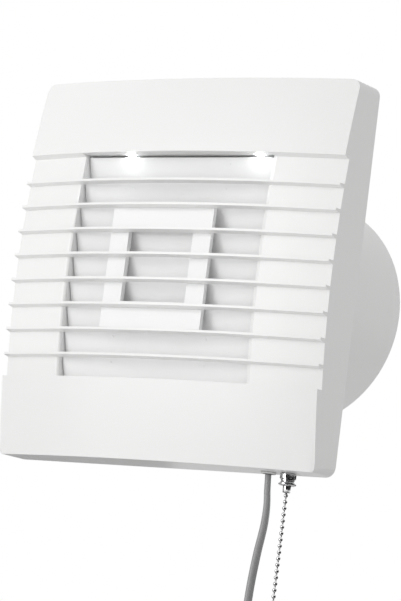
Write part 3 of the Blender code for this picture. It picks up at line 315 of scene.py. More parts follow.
# a profile of (radius, height) turned about an axis, ended on the axis or made a ring
def lathe(profile, steps=64, axis="Z", centre=(0, 0, 0)):
    bm = bmesh.new()
    loops = []
    turns = [2 * pi / steps * k for k in range(steps)]
    points = toMetres(profile)
    for radius, height in points:
        if radius < tiny:
            loops.append([bm.verts.new((0, 0, height))] * steps)
        else:
            loops.append([bm.verts.new((radius * cos(turn), radius * sin(turn), height))
                          for turn in turns])
    skin(bm, loops, ring=max(points[0][0], points[-1][0]) >= tiny)
    bm.transform(Matrix.Translation(toMetres([centre])[0]) @ axisTurns[axis])
    return bm


def rod(radius, start, end, centre=(0, 0), axis="Y", steps=32):
    offset = {"X": (0, *centre), "Y": (centre[0], 0, centre[1]), "Z": (*centre, 0)}[axis]
    return lathe([(0, start), (radius, start), (radius, end), (0, end)], steps, axis, offset)


def roundEdges(bm, edges, radius, segments):
    bmesh.ops.bevel(bm, geom=edges, offset=radius * mm, segments=segments, affect="EDGES", profile=0.5)


def box(xRange, yRange, zRange, rounding=0.0, tilt=0.0):
    bm = bmesh.new()
    bmesh.ops.create_cube(bm, size=1.0)
    spans = toMetres((xRange, yRange, zRange))
    bmesh.ops.scale(bm, vec=[high - low for low, high in spans], verts=bm.verts)
    bmesh.ops.translate(bm, vec=[(high + low) / 2 for low, high in spans], verts=bm.verts)
    if rounding:
        roundEdges(bm, bm.edges[:], rounding, 2)
    if tilt:
        bmesh.ops.rotate(bm, cent=(0, 0, 0), matrix=Matrix.Rotation(tilt, 3, "X"), verts=bm.verts)
    return bm


def about(middle, reach):
    return middle - reach, middle + reach


# a flat outline of (y, z) points drawn out along X
def prism(outline, start, end):
    bm = bmesh.new()
    first, last = [[bm.verts.new((at * mm, y, z)) for y, z in toMetres(outline)] for at in (start, end)]
    bm.faces.new(first)
    bm.faces.new(last[::-1])
    skin(bm, [first, last])
    return bm


# a section of (width, thickness) points carried along a path in metres; wide tells the width's direction
def sweep(path, section, wide):
    bm = bmesh.new()
    loops = []
    last = len(path) - 1
    outline = toMetres(section)
    for i, point in enumerate(path):
        along = (path[min(i + 1, last)] - path[max(i - 1, 0)]).normalized()
        side = wide(i / last)
        side = (side - along * side.dot(along)).normalized()
        up = along.cross(side)
        loops.append([bm.verts.new(point + side * u + up * v) for u, v in outline])
    skin(bm, loops)
    bm.faces.new(loops[0][::-1])
    bm.faces.new(loops[-1])
    return bm


def merged(shapes):
    whole = bmesh.new()
    for shape in shapes:
        mesh = toMesh(shape, "shape")
        whole.from_mesh(mesh)
        bpy.data.meshes.remove(mesh)
    return whole


def toMesh(bm, name):
    bmesh.ops.recalc_face_normals(bm, faces=bm.faces)
    mesh = bpy.data.meshes.new(name)
    bm.to_mesh(mesh)
    bm.free()
    return mesh


def toObject(bm, name):
    made = bpy.data.objects.new(name, toMesh(bm, name))
    scene.collection.objects.link(made)
    return made


join, cut = "UNION", "DIFFERENCE"


def bevel(target, width, segments=2):
    change = target.modifiers.new("bevel", "BEVEL")
    change.width = width * mm
    change.segments = segments
    change.limit_method = "ANGLE"
    change.angle_limit = radians(35)


# solids joined to a base or cut from it in order, then small roundings on its sharp edges
def carve(base, changes, rounding=0.0, segments=2):
    body = toObject(base, "carved")
    used = [body]
    for operation, tool in changes:
        used.append(toObject(tool, "tool"))
        change = body.modifiers.new("boolean", "BOOLEAN")
        change.operation = operation
        change.solver = "EXACT"
        change.object = used[-1]
    if rounding:
        bevel(body, rounding, segments)
    graph = bpy.context.evaluated_depsgraph_get()
    mesh = bpy.data.meshes.new_from_object(body.evaluated_get(graph))
    done = bmesh.new()
    done.from_mesh(mesh)
    for leftover in used:
        bpy.data.objects.remove(leftover, do_unlink=True)
    bmesh.ops.remove_doubles(done, verts=done.verts, dist=tiny)
    bmesh.ops.dissolve_degenerate(done, edges=done.edges, dist=tiny)
    return done


# a finished piece: it rides on its body, takes its finish from its slot and stands for its nodes
def addPiece(name, bm, slotName, nodes=(), body="fan_body", sharp=35, weighted=True, finishName=None):
    piece = toObject(bm, name)
    piece.data.materials.clear()
    piece.data.materials.append(finishes[finishName or slotName].material)
    piece.data.shade_smooth()
    if sharp:
        piece.data.set_sharp_from_angle(angle=radians(sharp))
    if weighted:
        normals = piece.modifiers.new("normals", "WEIGHTED_NORMAL")
        normals.keep_sharp = True
    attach(piece, body)
    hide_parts(*nodes)
    return piece


# mains lead: exit, free run, coil and tail as in the solids
lead = {
    "exit": (63.8, -9.0, -102.6), "exitWide": (-0.545, 0.838, 0), "twistEnd": 0.09,
    "length": 1.5, "width": 4.9, "thick": 3.1,
    "run": ((0, 0, 0), (0.6, 0, -8), (1.4, 0, -16), (1.2, -0.2, -26), (-0.4, -0.8, -40), (-1.4, -1.8, -58),
            (-0.8, -3.2, -76), (1.6, -4.6, -94)),
    "coilRadius": 33.5, "coilStep": 6.2, "coilLayers": 4, "coilTurns": 1.42,
    "coilCentre": (44.5, -14.0, -243), "coilEntry": 35, "perTurn": 24,
    "beforeCoil": (9.0, 0.3), "afterCoil": (0.3, 12.0),
    "tail": ((-7.2, 0.6, -24), (-8.2, 1.0, -36), (-8.3, 1.0, -47)),
}
layerPoints = round(lead["coilTurns"] * lead["perTurn"])
coilInner = lead["coilRadius"] - lead["coilStep"] * layerPoints / lead["perTurn"]


def smoothRoute(points, perSpan):
    ends = [2 * points[0] - points[1]] + list(points) + [2 * points[-1] - points[-2]]
    route = []
    for i in range(1, len(ends) - 2):
        a, b, c, d = ends[i - 1], ends[i], ends[i + 1], ends[i + 2]
        for k in range(perSpan):
            t = k / perSpan
            route.append(0.5 * (2 * b + (c - a) * t + (2 * a - 5 * b + 4 * c - d) * t * t
                                + (3 * b - a - 3 * c + d) * t ** 3))
    route.append(points[-1].copy())
    return route


# layers wound inward and outward in turn, half a turn of climb apart
def coilPath():
    perTurn, outer, layers = lead["perTurn"], lead["coilRadius"], lead["coilLayers"]
    halfTurn = perTurn // 2
    stations = []
    for layer in range(layers):
        inward = layer % 2 == 0
        for k in range(layerPoints):
            share = k / layerPoints if inward else 1 - k / layerPoints
            stations.append((outer + (coilInner - outer) * share, layer))
        if layer == layers - 1:
            break
        for k in range(halfTurn):
            share = k / halfTurn
            stations.append((coilInner if inward else outer, layer + 3 * share ** 2 - 2 * share ** 3))
    stations.append((outer, layers - 1))
    centre = Vector(lead["coilCentre"])
    path = []
    for i, (radius, level) in enumerate(stations):
        angle = radians(lead["coilEntry"]) - 2 * pi * i / perTurn
        offset = (radius * cos(angle), -level * lead["coilStep"], radius * sin(angle))
        path.append(centre + Vector(offset))
    return path


def obround(width, thickness, segments=8):
    half = thickness / 2
    straight = width / 2 - half
    points = []
    for k in range(segments + 1):
        angle = -pi / 2 + pi * k / segments
        points.append((straight + half * cos(angle), half * sin(angle)))
    return points + [(-u, -v) for u, v in points]


def makeLead():
    coil = coilPath()
    entry = (coil[1] - coil[0]).normalized()
    leave = (coil[-1] - coil[-2]).normalized()
    start = Vector(lead["exit"])
    run = [start + Vector(point) for point in lead["run"]]
    run += [coil[0] - entry * back for back in lead["beforeCoil"]]
    first, second = lead["afterCoil"]
    tailStart = coil[-1] + leave * first
    tail = [tailStart, tailStart + leave * second] + [tailStart + Vector(point) for point in lead["tail"]]
    rough = smoothRoute(run, 5) + coil + smoothRoute(tail, 5)
    path = smoothRoute([point * mm for point in rough], 2)
    exitWide = Vector(lead["exitWide"])
    acrossCoil = Vector((0, 1, 0))
    section = obround(lead["width"], lead["thick"])
    sheath = sweep(path, section, lambda at: exitWide.lerp(acrossCoil, min(at / lead["twistEnd"], 1.0)))
    nodes = ("mains_lead", "mains_lead_coil", "mains_lead_tail")
    piece = addPiece("mainsLead", sheath, "lead_sheath", nodes, sharp=0, weighted=False)
    return piece, path, tail[-1] * mm


leadPiece, leadPath, plugTop = makeLead()
print("mains lead:", round(sum((b - a).length for a, b in zip(leadPath, leadPath[1:])), 3), "m")


# plug, its pins and the ribs that guard the lead
plug = {
    "length": 34.0, "halfWidth": 12.0, "halfDepth": 6.6,
    # each level: share of the length, of the half width and of the half depth
    "levels": ((0.0, 0.26, 0.46), (0.01, 0.31, 0.53), (0.10, 0.35, 0.58), (0.22, 0.46, 0.66),
               (0.36, 0.62, 0.78), (0.50, 0.80, 0.90), (0.62, 0.92, 0.97), (0.74, 0.985, 1.0),
               (0.96, 1.0, 1.0), (0.99, 0.985, 0.97), (1.0, 0.95, 0.9)),
    "pinSpacing": 18.6, "pinLength": 19.0, "pinRoot": 8.0, "pinRound": 0.5,
    "pinTip": ((2.0, 1.6), (1.7, 0.5), (0.9, 0.0)),  # radius and height over the pin's end
    "hole": 2.3, "holeDepth": 8.3, "sleeveRadii": (2.06, 2.22), "sleeveRange": (0.2, -10.0),
    "sleeveRound": 0.1, "grooveReach": 20.0, "grooveSides": (-8.3, 5.9), "grooveDepth": 2.4,
    "grooveLevels": (12.0, 14.0, 16.0, 18.0), "grooveHeight": 0.7,
    "ribs": 5, "ribStart": 1.0, "ribPitch": 2.6, "ribRadius": 3.9, "ribTaper": 0.16, "ribBore": 2.5,
    "ribHalf": 0.8, "ribRound": 0.35,
}


def plugLoop(halfX, halfY, steps=40):
    straight = max(halfX - halfY, 0.0)
    radius = min(halfX, halfY)
    loop = []
    for k in range(steps):
        angle = 2 * pi * (k + 0.5) / steps
        across = copysign(straight, cos(angle)) + radius * cos(angle)
        loop.append((across, halfY * sin(angle)))
    return loop


def plugBlock(x, y, high):
    bm = bmesh.new()
    loops = []
    for share, wide, deep in plug["levels"]:
        z = high - plug["length"] * share
        loop = plugLoop(plug["halfWidth"] * wide, plug["halfDepth"] * deep)
        loops.append([bm.verts.new(Vector((x + u, y + v, z)) * mm) for u, v in loop])
    skin(bm, loops)
    bm.faces.new(loops[0])
    bm.faces.new(loops[-1][::-1])
    return bm


def plugRibs(high):
    p = plug
    ribs = []
    for i in range(p["ribs"]):
        level = high + p["ribStart"] + i * p["ribPitch"]
        reach = p["ribRadius"] - i * p["ribTaper"]
        near = min(leadPath, key=lambda point: abs(point.z / mm - level) + (point - plugTop).length * 4)
        low, top = about(level, p["ribHalf"])
        ring = [(p["ribBore"], low), (reach, low), (reach, top), (p["ribBore"], top)]
        ribs.append(lathe(filleted(ring, p["ribRound"]), 32, "Z", (near.x / mm, near.y / mm, 0)))
    return merged(ribs)


def makePlug():
    p = plug
    x, y, z = plugTop / mm
    high = z - fit
    low = high - p["length"]
    sides = about(x, p["pinSpacing"] / 2)
    holes = merged([rod(p["hole"], low - through, low + p["holeDepth"], (side, y), "Z") for side in sides])
    depths = [(y + at, y + at + p["grooveDepth"]) for at in p["grooveSides"]]
    heights = [(low + level, low + level + p["grooveHeight"]) for level in p["grooveLevels"]]
    across = about(x, p["grooveReach"])
    grooves = merged([box(across, depth, height) for depth in depths for height in heights])
    body = carve(plugBlock(x, y, high), [(cut, holes), (cut, grooves)])
    pieces = [addPiece("plugBody", body, "terminal_moulding", ["plug_body"])]
    pinProfile = [(0, p["pinRoot"]), (p["pinTip"][0][0], p["pinRoot"])]
    pinProfile += [(radius, height - p["pinLength"]) for radius, height in p["pinTip"]]
    pinProfile.append((0, -p["pinLength"]))
    (inner, outer), (top, foot) = p["sleeveRadii"], p["sleeveRange"]
    sleeveProfile = [(inner, top), (outer, top), (outer, foot), (inner, foot)]
    for number, side in enumerate(sides, 1):
        centre = (side, y, low)
        pin = lathe(filleted(pinProfile, p["pinRound"], closed=False), 32, "Z", centre)
        sleeve = lathe(filleted(sleeveProfile, p["sleeveRound"]), 32, "Z", centre)
        pieces.append(addPiece("plugPin%d" % number, pin, "chrome", ["plug_pin_%d" % number]))
        pieces.append(addPiece("pinSleeve%d" % number, sleeve, "dark_moulding"))
    pieces.append(addPiece("plugRelief", plugRibs(high), "terminal_moulding"))
    return pieces


# nylon tie round the left side of the coil
tie = {"width": 4.0, "thick": 1.3, "innerCorner": 2.6, "outerCorner": 3.6}


def makeTie():
    room = lead["width"] / 2 + fit
    x, y, z = lead["coilCentre"]
    left, right = x - lead["coilRadius"] - room, x - coilInner + room
    front, back = y - (lead["coilLayers"] - 1) * lead["coilStep"] - room, y + room

    def outline(out, corner):
        low, high = (left - out, front - out), (right + out, back + out)
        return filleted([low, (high[0], low[1]), high, (low[0], high[1])], corner, 6)

    inside = outline(0, tie["innerCorner"])
    outside = outline(tie["thick"], tie["outerCorner"])
    half = tie["width"] / 2
    bm = bmesh.new()
    loops = [[bm.verts.new((u * mm, v * mm, (z + level) * mm)) for u, v in loop]
             for loop, level in ((inside, -half), (outside, -half), (outside, half), (inside, half))]
    skin(bm, loops, ring=True)
    return addPiece("coilTie", bm, "tie_nylon", ["coil_tie"])


# grommet where the lead leaves the cover
grommet = {
    "bore": 2.75, "radius": 3.5, "flange": 0.5, "top": -98.6, "under": -101.6, "lip": 0.7, "chamfer": 0.3,
    "round": 0.25,
}


def makeGrommet():
    g = grommet
    x, y, _ = lead["exit"]
    wide = g["radius"] + g["flange"]
    low = g["under"] - g["lip"]
    profile = [(g["bore"], g["top"]), (g["radius"], g["top"]), (g["radius"], g["under"]), (wide, g["under"]),
               (wide - g["chamfer"], low), (g["bore"], low)]
    ring = lathe(filleted(profile, g["round"]), 48, "Z", (x, y, 0))
    addPiece("leadGrommet", ring, "terminal_moulding", ["lead_grommet"])


plugPieces = makePlug()
tiePiece = makeTie()
makeGrommet()
plugPieces + [tiePiece]
print("plug, tie and grommet made")


# front cover, made flat and then bent to its dome
cover = {
    "side": 96.4, "top": 96.7, "bottom": -101.3, "depth": 38.65, "wall": 2.4, "round": 0.4,
    "dome": 443.0, "crown": -2.0, "kept": 12.0, "draft": 1.5, "draftStart": 70.0,
    "corner": 5.4, "topCorner": 5.0, "frontCorner": 2.4, "backCorner": 5.2, "lowEdge": 1.8,
    "bow": 0.75, "bowStart": 60.0,
    "recessTop": 56.2, "recessBottom": -61.0, "recess": 4.2, "lipSlope": 1.3,
    "openingSide": 58.2, "openingRight": 54.5, "slant": 2.9, "openingRound": 2.2, "openingBack": 3,
    "finCount": 8, "finPitch": 12.956, "firstFin": 41.3, "finThick": 1.2, "finTaper": 0.7,
    "shelfRise": 0.2, "shelfThick": 2.0, "shelfReach": 20.0, "shelfBack": -21.5, "margin": (2, 1),
    "bottomHoles": ((3.8, (63.8, -9.0)), (3.3, (75.4, -9.0))), "holeRange": (-106, -94),
    "slices": {"X": (-92, 5.75), "Z": (-97, 5.9)}, "sliceCount": 33,
}
shelfUnder = cover["recessTop"] + cover["shelfRise"]
shelfTop = shelfUnder + cover["shelfThick"]


lamp = {
    "radius": 2.5, "places": (-31.5, 46.0), "y": -25.5, "under": 56.4, "top": 58.4, "recess": 1.5,
    "edge": 0.2, "steps": 10, "hole": 2.8, "holeRange": (-3, 2.3),
}


def frontDepth(x, z):
    return cover["depth"] - (x * x + (z - cover["crown"]) ** 2) / (2 * cover["dome"])


# depth counts from the front face: the first part follows the dome, the rest runs straight to the wall
def bend(point):
    c = cover
    x, depth, z = (part / mm for part in point)
    front, kept, side, full = frontDepth(x, z), c["kept"], c["side"], c["depth"]
    if depth <= kept:
        y = depth - front
    else:
        y = (kept - front) * (1 - (depth - kept) / (full - kept))
    ahead = 1 - depth / full
    bow = c["bow"] * max(z - c["bowStart"], 0) / (c["top"] - c["bowStart"])
    bow *= (1 - (x / side) ** 2) * ahead
    toSide = side - abs(x)
    toEnd = min(c["top"] - z, z - c["bottom"])
    if max(toSide, toEnd) < c["corner"]:
        start = c["topCorner"] if z > 0 else c["frontCorner"]
        share = (start + (c["backCorner"] - start) * depth / full) / c["corner"]
        x = copysign(side - toSide * share, x)
        z += copysign(toEnd * (1 - share), z)
    z -= bow
    outer = max(abs(x) - c["draftStart"], 0) / (side - c["draftStart"])
    x -= copysign(c["draft"] * outer * ahead, x)
    return Vector((x, y, z)) * mm


def sliced(bm, axis, places):
    normal = Vector((axis == "X", axis == "Y", axis == "Z"))
    for at in places:
        geometry = bm.verts[:] + bm.edges[:] + bm.faces[:]
        bmesh.ops.bisect_plane(bm, geom=geometry, dist=tiny, plane_co=normal * at * mm, plane_no=normal)


def isAt(vert, places):
    return all(abs(vert.co[axis] / mm - place) < 0.01 for axis, place in places.items())


def roundEdgesAt(bm, places, radius, segments):
    edges = [edge for edge in bm.edges if all(isAt(vert, places) for vert in edge.verts)]
    roundEdges(bm, edges, radius, segments)


# two panels with the recess and its opening between them, still flat
def coverPanels():
    c = cover
    wall, recess, side, low, high = c["wall"], c["recess"], c["side"], c["recessBottom"], c["recessTop"]
    bottom, top = c["bottom"] + wall, c["top"] - wall
    block = box(about(0, side), (0, c["depth"]), (c["bottom"], c["top"]))
    corners = [e for e in block.edges if abs(e.verts[0].co.y - e.verts[1].co.y) > 5 * mm]
    roundEdges(block, corners, c["corner"], 8)
    lip = c["lipSlope"] / recess
    outline = [(-through, low), (recess, low), (recess, high - recess * lip),
               (-through, high + through * lip)]
    front = prism(outline, *about(0, side + through))
    inside = about(0, side - wall)
    hollow = box(inside, (recess + wall, c["depth"] + through), (bottom, top))
    panelHeights = ((high + wall, top), (bottom, low - wall))
    behindPanels = merged([box(inside, (wall, recess + 2 * wall), heights) for heights in panelHeights])
    shelf = box(about(0, c["openingSide"] - fit), (wall / 2, c["shelfReach"]), (shelfUnder, shelfTop))
    depths = (-through, c["depth"] - c["openingBack"])
    opening = box((-c["openingSide"], c["openingRight"]), depths, (low, high))
    return carve(block, [(cut, front), (cut, hollow), (cut, behindPanels), (join, shelf), (cut, opening)])


def coverFins():
    c = cover
    back, half = c["recess"] + fit, c["finThick"] / 2
    fins = []
    for i in range(c["finCount"]):
        z = c["firstFin"] - i * c["finPitch"]
        outline = [(0, z - half), (0, z + half), (back, z + half), (back, z - half - c["finTaper"])]
        fins.append(prism(outline, -c["side"], c["side"]))
    return merged(fins)


def makeCover():
    c = cover
    panels = coverPanels()
    for vert in panels.verts:
        if isAt(vert, {0: c["openingRight"], 1: c["recess"]}):
            vert.co.x += c["slant"] * mm
    roundEdgesAt(panels, {1: 0, 2: c["bottom"]}, c["lowEdge"], 5)
    roundEdgesAt(panels, {0: -c["openingSide"], 1: c["recess"]}, c["openingRound"], 6)
    body = carve(panels, [(join, coverFins())], c["round"], 4)
    for axis, (first, step) in c["slices"].items():
        sliced(body, axis, [first + step * k for k in range(c["sliceCount"])])
    for vert in body.verts:
        vert.co = bend(vert.co)
    below, above = lamp["holeRange"]
    holes = [rod(lamp["hole"], shelfUnder + below, shelfUnder + above, (x, lamp["y"]), "Z")
             for x in lamp["places"]]
    holes += [rod(radius, *c["holeRange"], place, "Z") for radius, place in c["bottomHoles"]]
    beside, over = c["margin"]
    heights = (shelfUnder - over, shelfTop + over)
    behindShelf = box(about(0, c["openingSide"] + beside), (c["shelfBack"], 0), heights)
    whole = carve(body, [(cut, merged(holes)), (cut, behindShelf)])
    return addPiece("frontCover", whole, "white_moulding", ["front_cover"], sharp=28)


coverPiece = makeCover()
print("front cover made:", len(coverPiece.data.polygons), "faces")


# base plate with the duct collar, the struts and the motor cup
duct = {
    "radius": 61.5, "wall": 2.5, "length": 108.0, "plate": 3.0, "gap": 0.7, "round": 0.4, "steps": 96,
    "inset": 13, "wallHole": 2.5, "screwsAt": (65.4, 46), "screwHole": 1.8,
    "cupRadius": 30.0, "cupWall": 3.0, "cupFront": 36.0, "cupBack": 74.0, "cupFloor": 2.0, "cupSteps": 72,
    "strutDepth": 16.0, "strutWidth": 3.0, "strutRoot": 1.5, "strutTip": 1.25, "boss": 7, "seat": 4.3,
    "bossSteps": 40,
}


def makeDuct():
    d = duct
    side = cover["side"] - cover["wall"]
    low, high = cover["bottom"] + cover["wall"], cover["top"] - cover["wall"]
    plate = box(about(0, side - d["gap"]), (-d["plate"], 0), (low + d["gap"], high - d["gap"]))
    tube = rod(d["radius"], -d["plate"] / 2, d["length"], steps=d["steps"])
    bore = rod(d["radius"] - d["wall"], -6, d["length"] + 6, steps=d["steps"])
    inset = d["inset"]
    holes = [rod(d["wallHole"], -6, 6, (x, z))
             for x in about(0, side - inset) for z in (low + inset, high - inset)]
    reach, level = d["screwsAt"]
    holes += [rod(d["screwHole"], -8, 5, (x, z)) for x in about(0, reach) for z in about(0, level)]
    back = d["cupBack"] - d["cupFloor"]
    struts = []
    for k in range(4):
        strut = box((d["cupRadius"] - d["strutRoot"], d["radius"] - d["strutTip"]),
                    (back - d["strutDepth"], back), about(0, d["strutWidth"] / 2))
        strut.transform(Matrix.Rotation(radians(45 + 90 * k), 4, "Y"))
        struts.append(strut)
    cup = rod(d["cupRadius"], d["cupFront"], d["cupBack"], steps=d["cupSteps"])
    cavity = rod(d["cupRadius"] - d["cupWall"], d["cupFront"] - through, back, steps=d["cupSteps"])
    boss = rod(d["boss"], back - 5, back + 1, steps=d["bossSteps"])
    seat = rod(d["seat"], back - 10, back + 8, steps=d["bossSteps"])
    changes = [(join, tube), (cut, merged([bore] + holes)), (join, cup), (join, merged(struts)),
               (cut, cavity), (join, boss), (cut, seat)]
    body = carve(plate, changes, d["round"])
    return addPiece("ductAndPlate", body, "white_moulding", ["housing"])


ductPiece = makeDuct()
print("duct and plate made:", len(ductPiece.data.polygons), "faces")


# shutter blades: louvres that hang in front of their hinge line, on a tab at each end
blade = {
    "count": 9, "first": 55.0, "length": 12.8, "thick": 1.0, "tilt": 20.0, "setback": 5.1, "offset": 1.8,
    "firstLift": 0.4, "inner": 58.5, "endGap": 0.6, "surroundWall": 2.4, "round": 0.35,
    "tabWidth": 1.2, "tabFoot": 2.0, "tabTop": 0.88, "tabRound": 0.15, "notch": 1.7,
    "pin": 0.8, "pinEdge": 0.2,
    "crank": 5.0, "crankHalf": 1.3, "crankRound": 1.25, "crankThick": 1.6, "crankPin": 2.1,
    "linked": (3, 4, 5, 6), "leftLug": -28.0, "rightLug": 28.0, "linkLug": 21.5, "lugPin": 2.6,
    "lugReach": 4.2, "lugHalf": (0.8, 0.9), "lugRound": 0.2,
    "studDrop": 2.4, "studHeight": 0.45, "studHalf": (0.4, 0.5),
}


def hinge(index):
    height = blade["first"] - index * cover["finPitch"]
    return blade["setback"] - (frontDepth(cover["openingSide"], height) - cover["recess"]), height


def pinRod(start, end, y):
    radius, edge = blade["pin"], blade["pinEdge"]
    profile = [(0, start), (radius - edge, start), (radius, start + edge), (radius, end - edge),
               (radius - edge, end), (0, end)]
    return lathe(profile, 16, "X", (0, y, 0))


# the plate's section, leaning about the hinge line
def bladePlate(half, tilt, lift):
    b = blade
    thick, length = b["thick"] / 2, b["length"]
    outline = [(thick, 0.5 + lift), (thick, -length + 0.6), (0.1, -length), (-thick, -length + 0.5),
               (-thick, 0.3 + lift), (-0.2, 0.62 + lift)]
    outline = [(u - b["offset"], v) for u, v in filleted(outline, b["round"], 3)]
    plate = prism(outline, -half, half)
    plate.transform(Matrix.Rotation(tilt, 4, "X"))
    return plate


# lugs that hold the link frame, or the plain blades' studs
def bladeLugs(linked, tilt, places):
    b = blade
    thick, offset = b["thick"] / 2, b["offset"]
    wide, tall = b["lugHalf"] if linked else b["studHalf"]
    depths = (-offset - thick - b["studHeight"], -offset)
    heights = about(-b["studDrop"], tall)
    if linked:
        depths = (-b["lugReach"] - tall, (thick - offset) * cos(tilt))
        heights, tilt = about(0, tall), 0.0
    return merged([box(about(x, wide), depths, heights, b["lugRound"], tilt) for x in places])


def makeBlade(index):
    b = blade
    linked = index in b["linked"]
    half = b["inner"] - b["endGap"]
    inner = half - b["tabWidth"]
    tilt, offset = radians(b["tilt"]), b["offset"]
    plate = bladePlate(half, tilt, b["firstLift"] if index == 0 else 0.0)
    depths, heights = about(-offset, through), (-b["length"] - through, b["notch"] - b["length"])
    notches = merged([box(ends, depths, heights, tilt=tilt)
                      for ends in ((-half - through, fit - inner), (inner - fit, half + through))])
    depths, heights = (-offset * cos(tilt), b["tabTop"]), (-b["tabFoot"], b["tabTop"])
    tabs = merged([box(ends, depths, heights, b["tabRound"]) for ends in ((-half, -inner), (inner, half))])
    wall = b["inner"] + b["surroundWall"]
    crankStart = wall + fit
    crankEnd = crankStart + b["crankThick"]
    arm = b["crankHalf"]
    crankOutline = [(-arm, -arm), (b["crank"] + arm, -arm), (b["crank"] + arm, arm), (-arm, arm)]
    crank = prism(filleted(crankOutline, b["crankRound"], 5), crankStart, crankEnd)
    root, sunk = half - b["tabWidth"] / 2, b["crankThick"] / 2
    hingePins = merged([pinRod(-wall, -root, 0), pinRod(root, crankStart + sunk, 0)])
    places = (b["leftLug"], b["linkLug"] if linked else b["rightLug"])
    changes = [(cut, notches), (join, tabs), (join, hingePins), (join, crank),
               (join, pinRod(crankEnd - sunk, crankEnd + b["crankPin"], b["crank"])),
               (join, bladeLugs(linked, tilt, places))]
    if linked:
        lugPins = merged([pinRod(*about(x, b["lugPin"]), -b["lugReach"]) for x in places])
        changes.append((join, lugPins))
    whole = carve(plate, changes)
    whole.transform(Matrix.Translation((0, *toMetres([hinge(index)])[0])))
    number = index + 1
    addPiece("shutterBlade%d" % number, whole, "shutter_moulding", ["shutter_blade_%d" % number],
             body="blade_%d" % number, sharp=30)


for index in range(blade["count"]):
    makeBlade(index)
print("shutter blades made")


# link frame in front of the blades
link = {
    "left": -33.2, "right": 27.2, "top": 29.5, "bottom": -34.9, "sideBar": 10.8, "topBar": 14.6,
    "bottomBar": 13.5, "front": -31.65, "thick": 1.5, "round": 0.22,
    "skirtBack": -28.6, "skirtWidth": 1.2, "earWidth": 1.8, "earBehind": 1.4, "earHalf": 2.4,
    "lugPlay": 0.6, "slotFront": 1.57, "slotBack": 10, "slotPast": 2, "hole": 1.1, "holeHalf": 2.9,
}


def makeLink():
    k = link
    front, back, heights = k["front"], k["front"] + k["thick"], (k["bottom"], k["top"])
    windowLeft, windowRight = k["left"] + k["sideBar"], k["right"] - k["sideBar"]
    plate = box((k["left"], k["right"]), (front, back), heights)
    window = box((windowLeft, windowRight), (front - through, back + through),
                 (k["bottom"] + k["bottomBar"], k["top"] - k["topBar"]))
    wide = k["skirtWidth"]
    skirts = [box((x, x + wide), (back - fit, k["skirtBack"]), heights)
              for x in (k["left"] + fit, windowLeft - wide, windowRight, k["right"] - fit - wide)]
    clear = blade["lugHalf"][0] + k["lugPlay"]
    ear, slot = k["earHalf"], k["earHalf"] + k["slotPast"]
    ears, slots, holes = [], [], []
    for index in blade["linked"]:
        y, z = hinge(index)
        y -= blade["lugReach"]
        for x in (blade["leftLug"], blade["linkLug"]):
            ears.append(box(about(x, clear + k["earWidth"]), (back - fit, y + k["earBehind"]), about(z, ear)))
            slots.append(box(about(x, clear), (y - k["slotFront"], y + k["slotBack"]), about(z, slot)))
            holes.append(rod(k["hole"], *about(x, k["holeHalf"]), (y, z), "X", 20))
    changes = [(cut, window), (join, merged(skirts)), (join, merged(ears)),
               (cut, merged(slots)), (cut, merged(holes))]
    # the link frame takes the darker copy of the shutter's white, which is painted shade
    addPiece("linkFrame", carve(plate, changes, k["round"]), "shutter_moulding", ["link_frame"],
             body="link_frame", finishName="link_painted_shade")


makeLink()
print("link frame made")


# lamps: clear domes with a bright core
def makeLamps():
    radius, top, edge, steps = lamp["radius"], lamp["top"], lamp["edge"], lamp["steps"]
    rim = lamp["under"] + lamp["recess"]
    turns = [pi / 2 * k / steps for k in range(steps)]
    profile = [(0, top), (radius - edge, top), (radius, top - edge)]
    profile += [(radius * cos(turn), rim - radius * sin(turn)) for turn in turns]
    profile.append((0, rim - radius))
    for name, node, x in zip(("lampLeft", "lampRight"), ("lamp_left", "lamp_right"), lamp["places"]):
        addPiece(name, lathe(profile, 40, "Z", (x, lamp["y"], 0)), "lamp_lens", [node])


makeLamps()


# pull switch: nut, bushing with its flared lip and nozzle, bead chain and end pull
switch = {
    "place": (75.4, -9.0, 0),
    "nutRadius": 4.15, "nutBore": 3.3, "nutHeight": 2.8, "nutEdge": 0.35, "nutRings": 3,
    "outer": 3.0, "bushingTop": 5.7, "bore": 1.45, "waist": 3.3, "lip": 4.5, "lipDrop": 5.9,
    "nozzle": 2.0, "nozzleDrop": 9.7,
    "bead": 1.05, "pitch": 3.12, "beadNeck": 0.42, "beads": 26, "beadSteps": 10,
    "pullRadius": 4.0, "pullLength": 19.0, "pullRound": 1.0,
    # the bell of the pull: share of the radius, and of the length from the top
    "bell": ((0.56, 0.25), (0.78, 0.5), (0.96, 0.72), (1.0, 0.84), (0.95, 0.94), (0.74, 1.0), (0.0, 1.0)),
}


def nutProfile(start, under):
    s = switch
    radius, edge = s["nutRadius"], s["nutEdge"]
    profile = [(s["nutBore"], start), (radius - edge, start), (radius, start - edge)]
    for k in range(s["nutRings"]):
        level = start - 0.75 - k * 0.6
        profile += [(radius, level + 0.12), (radius - 0.14, level), (radius, level - 0.12)]
    return profile + [(radius, under + edge), (radius - edge, under), (s["nutBore"], under)]


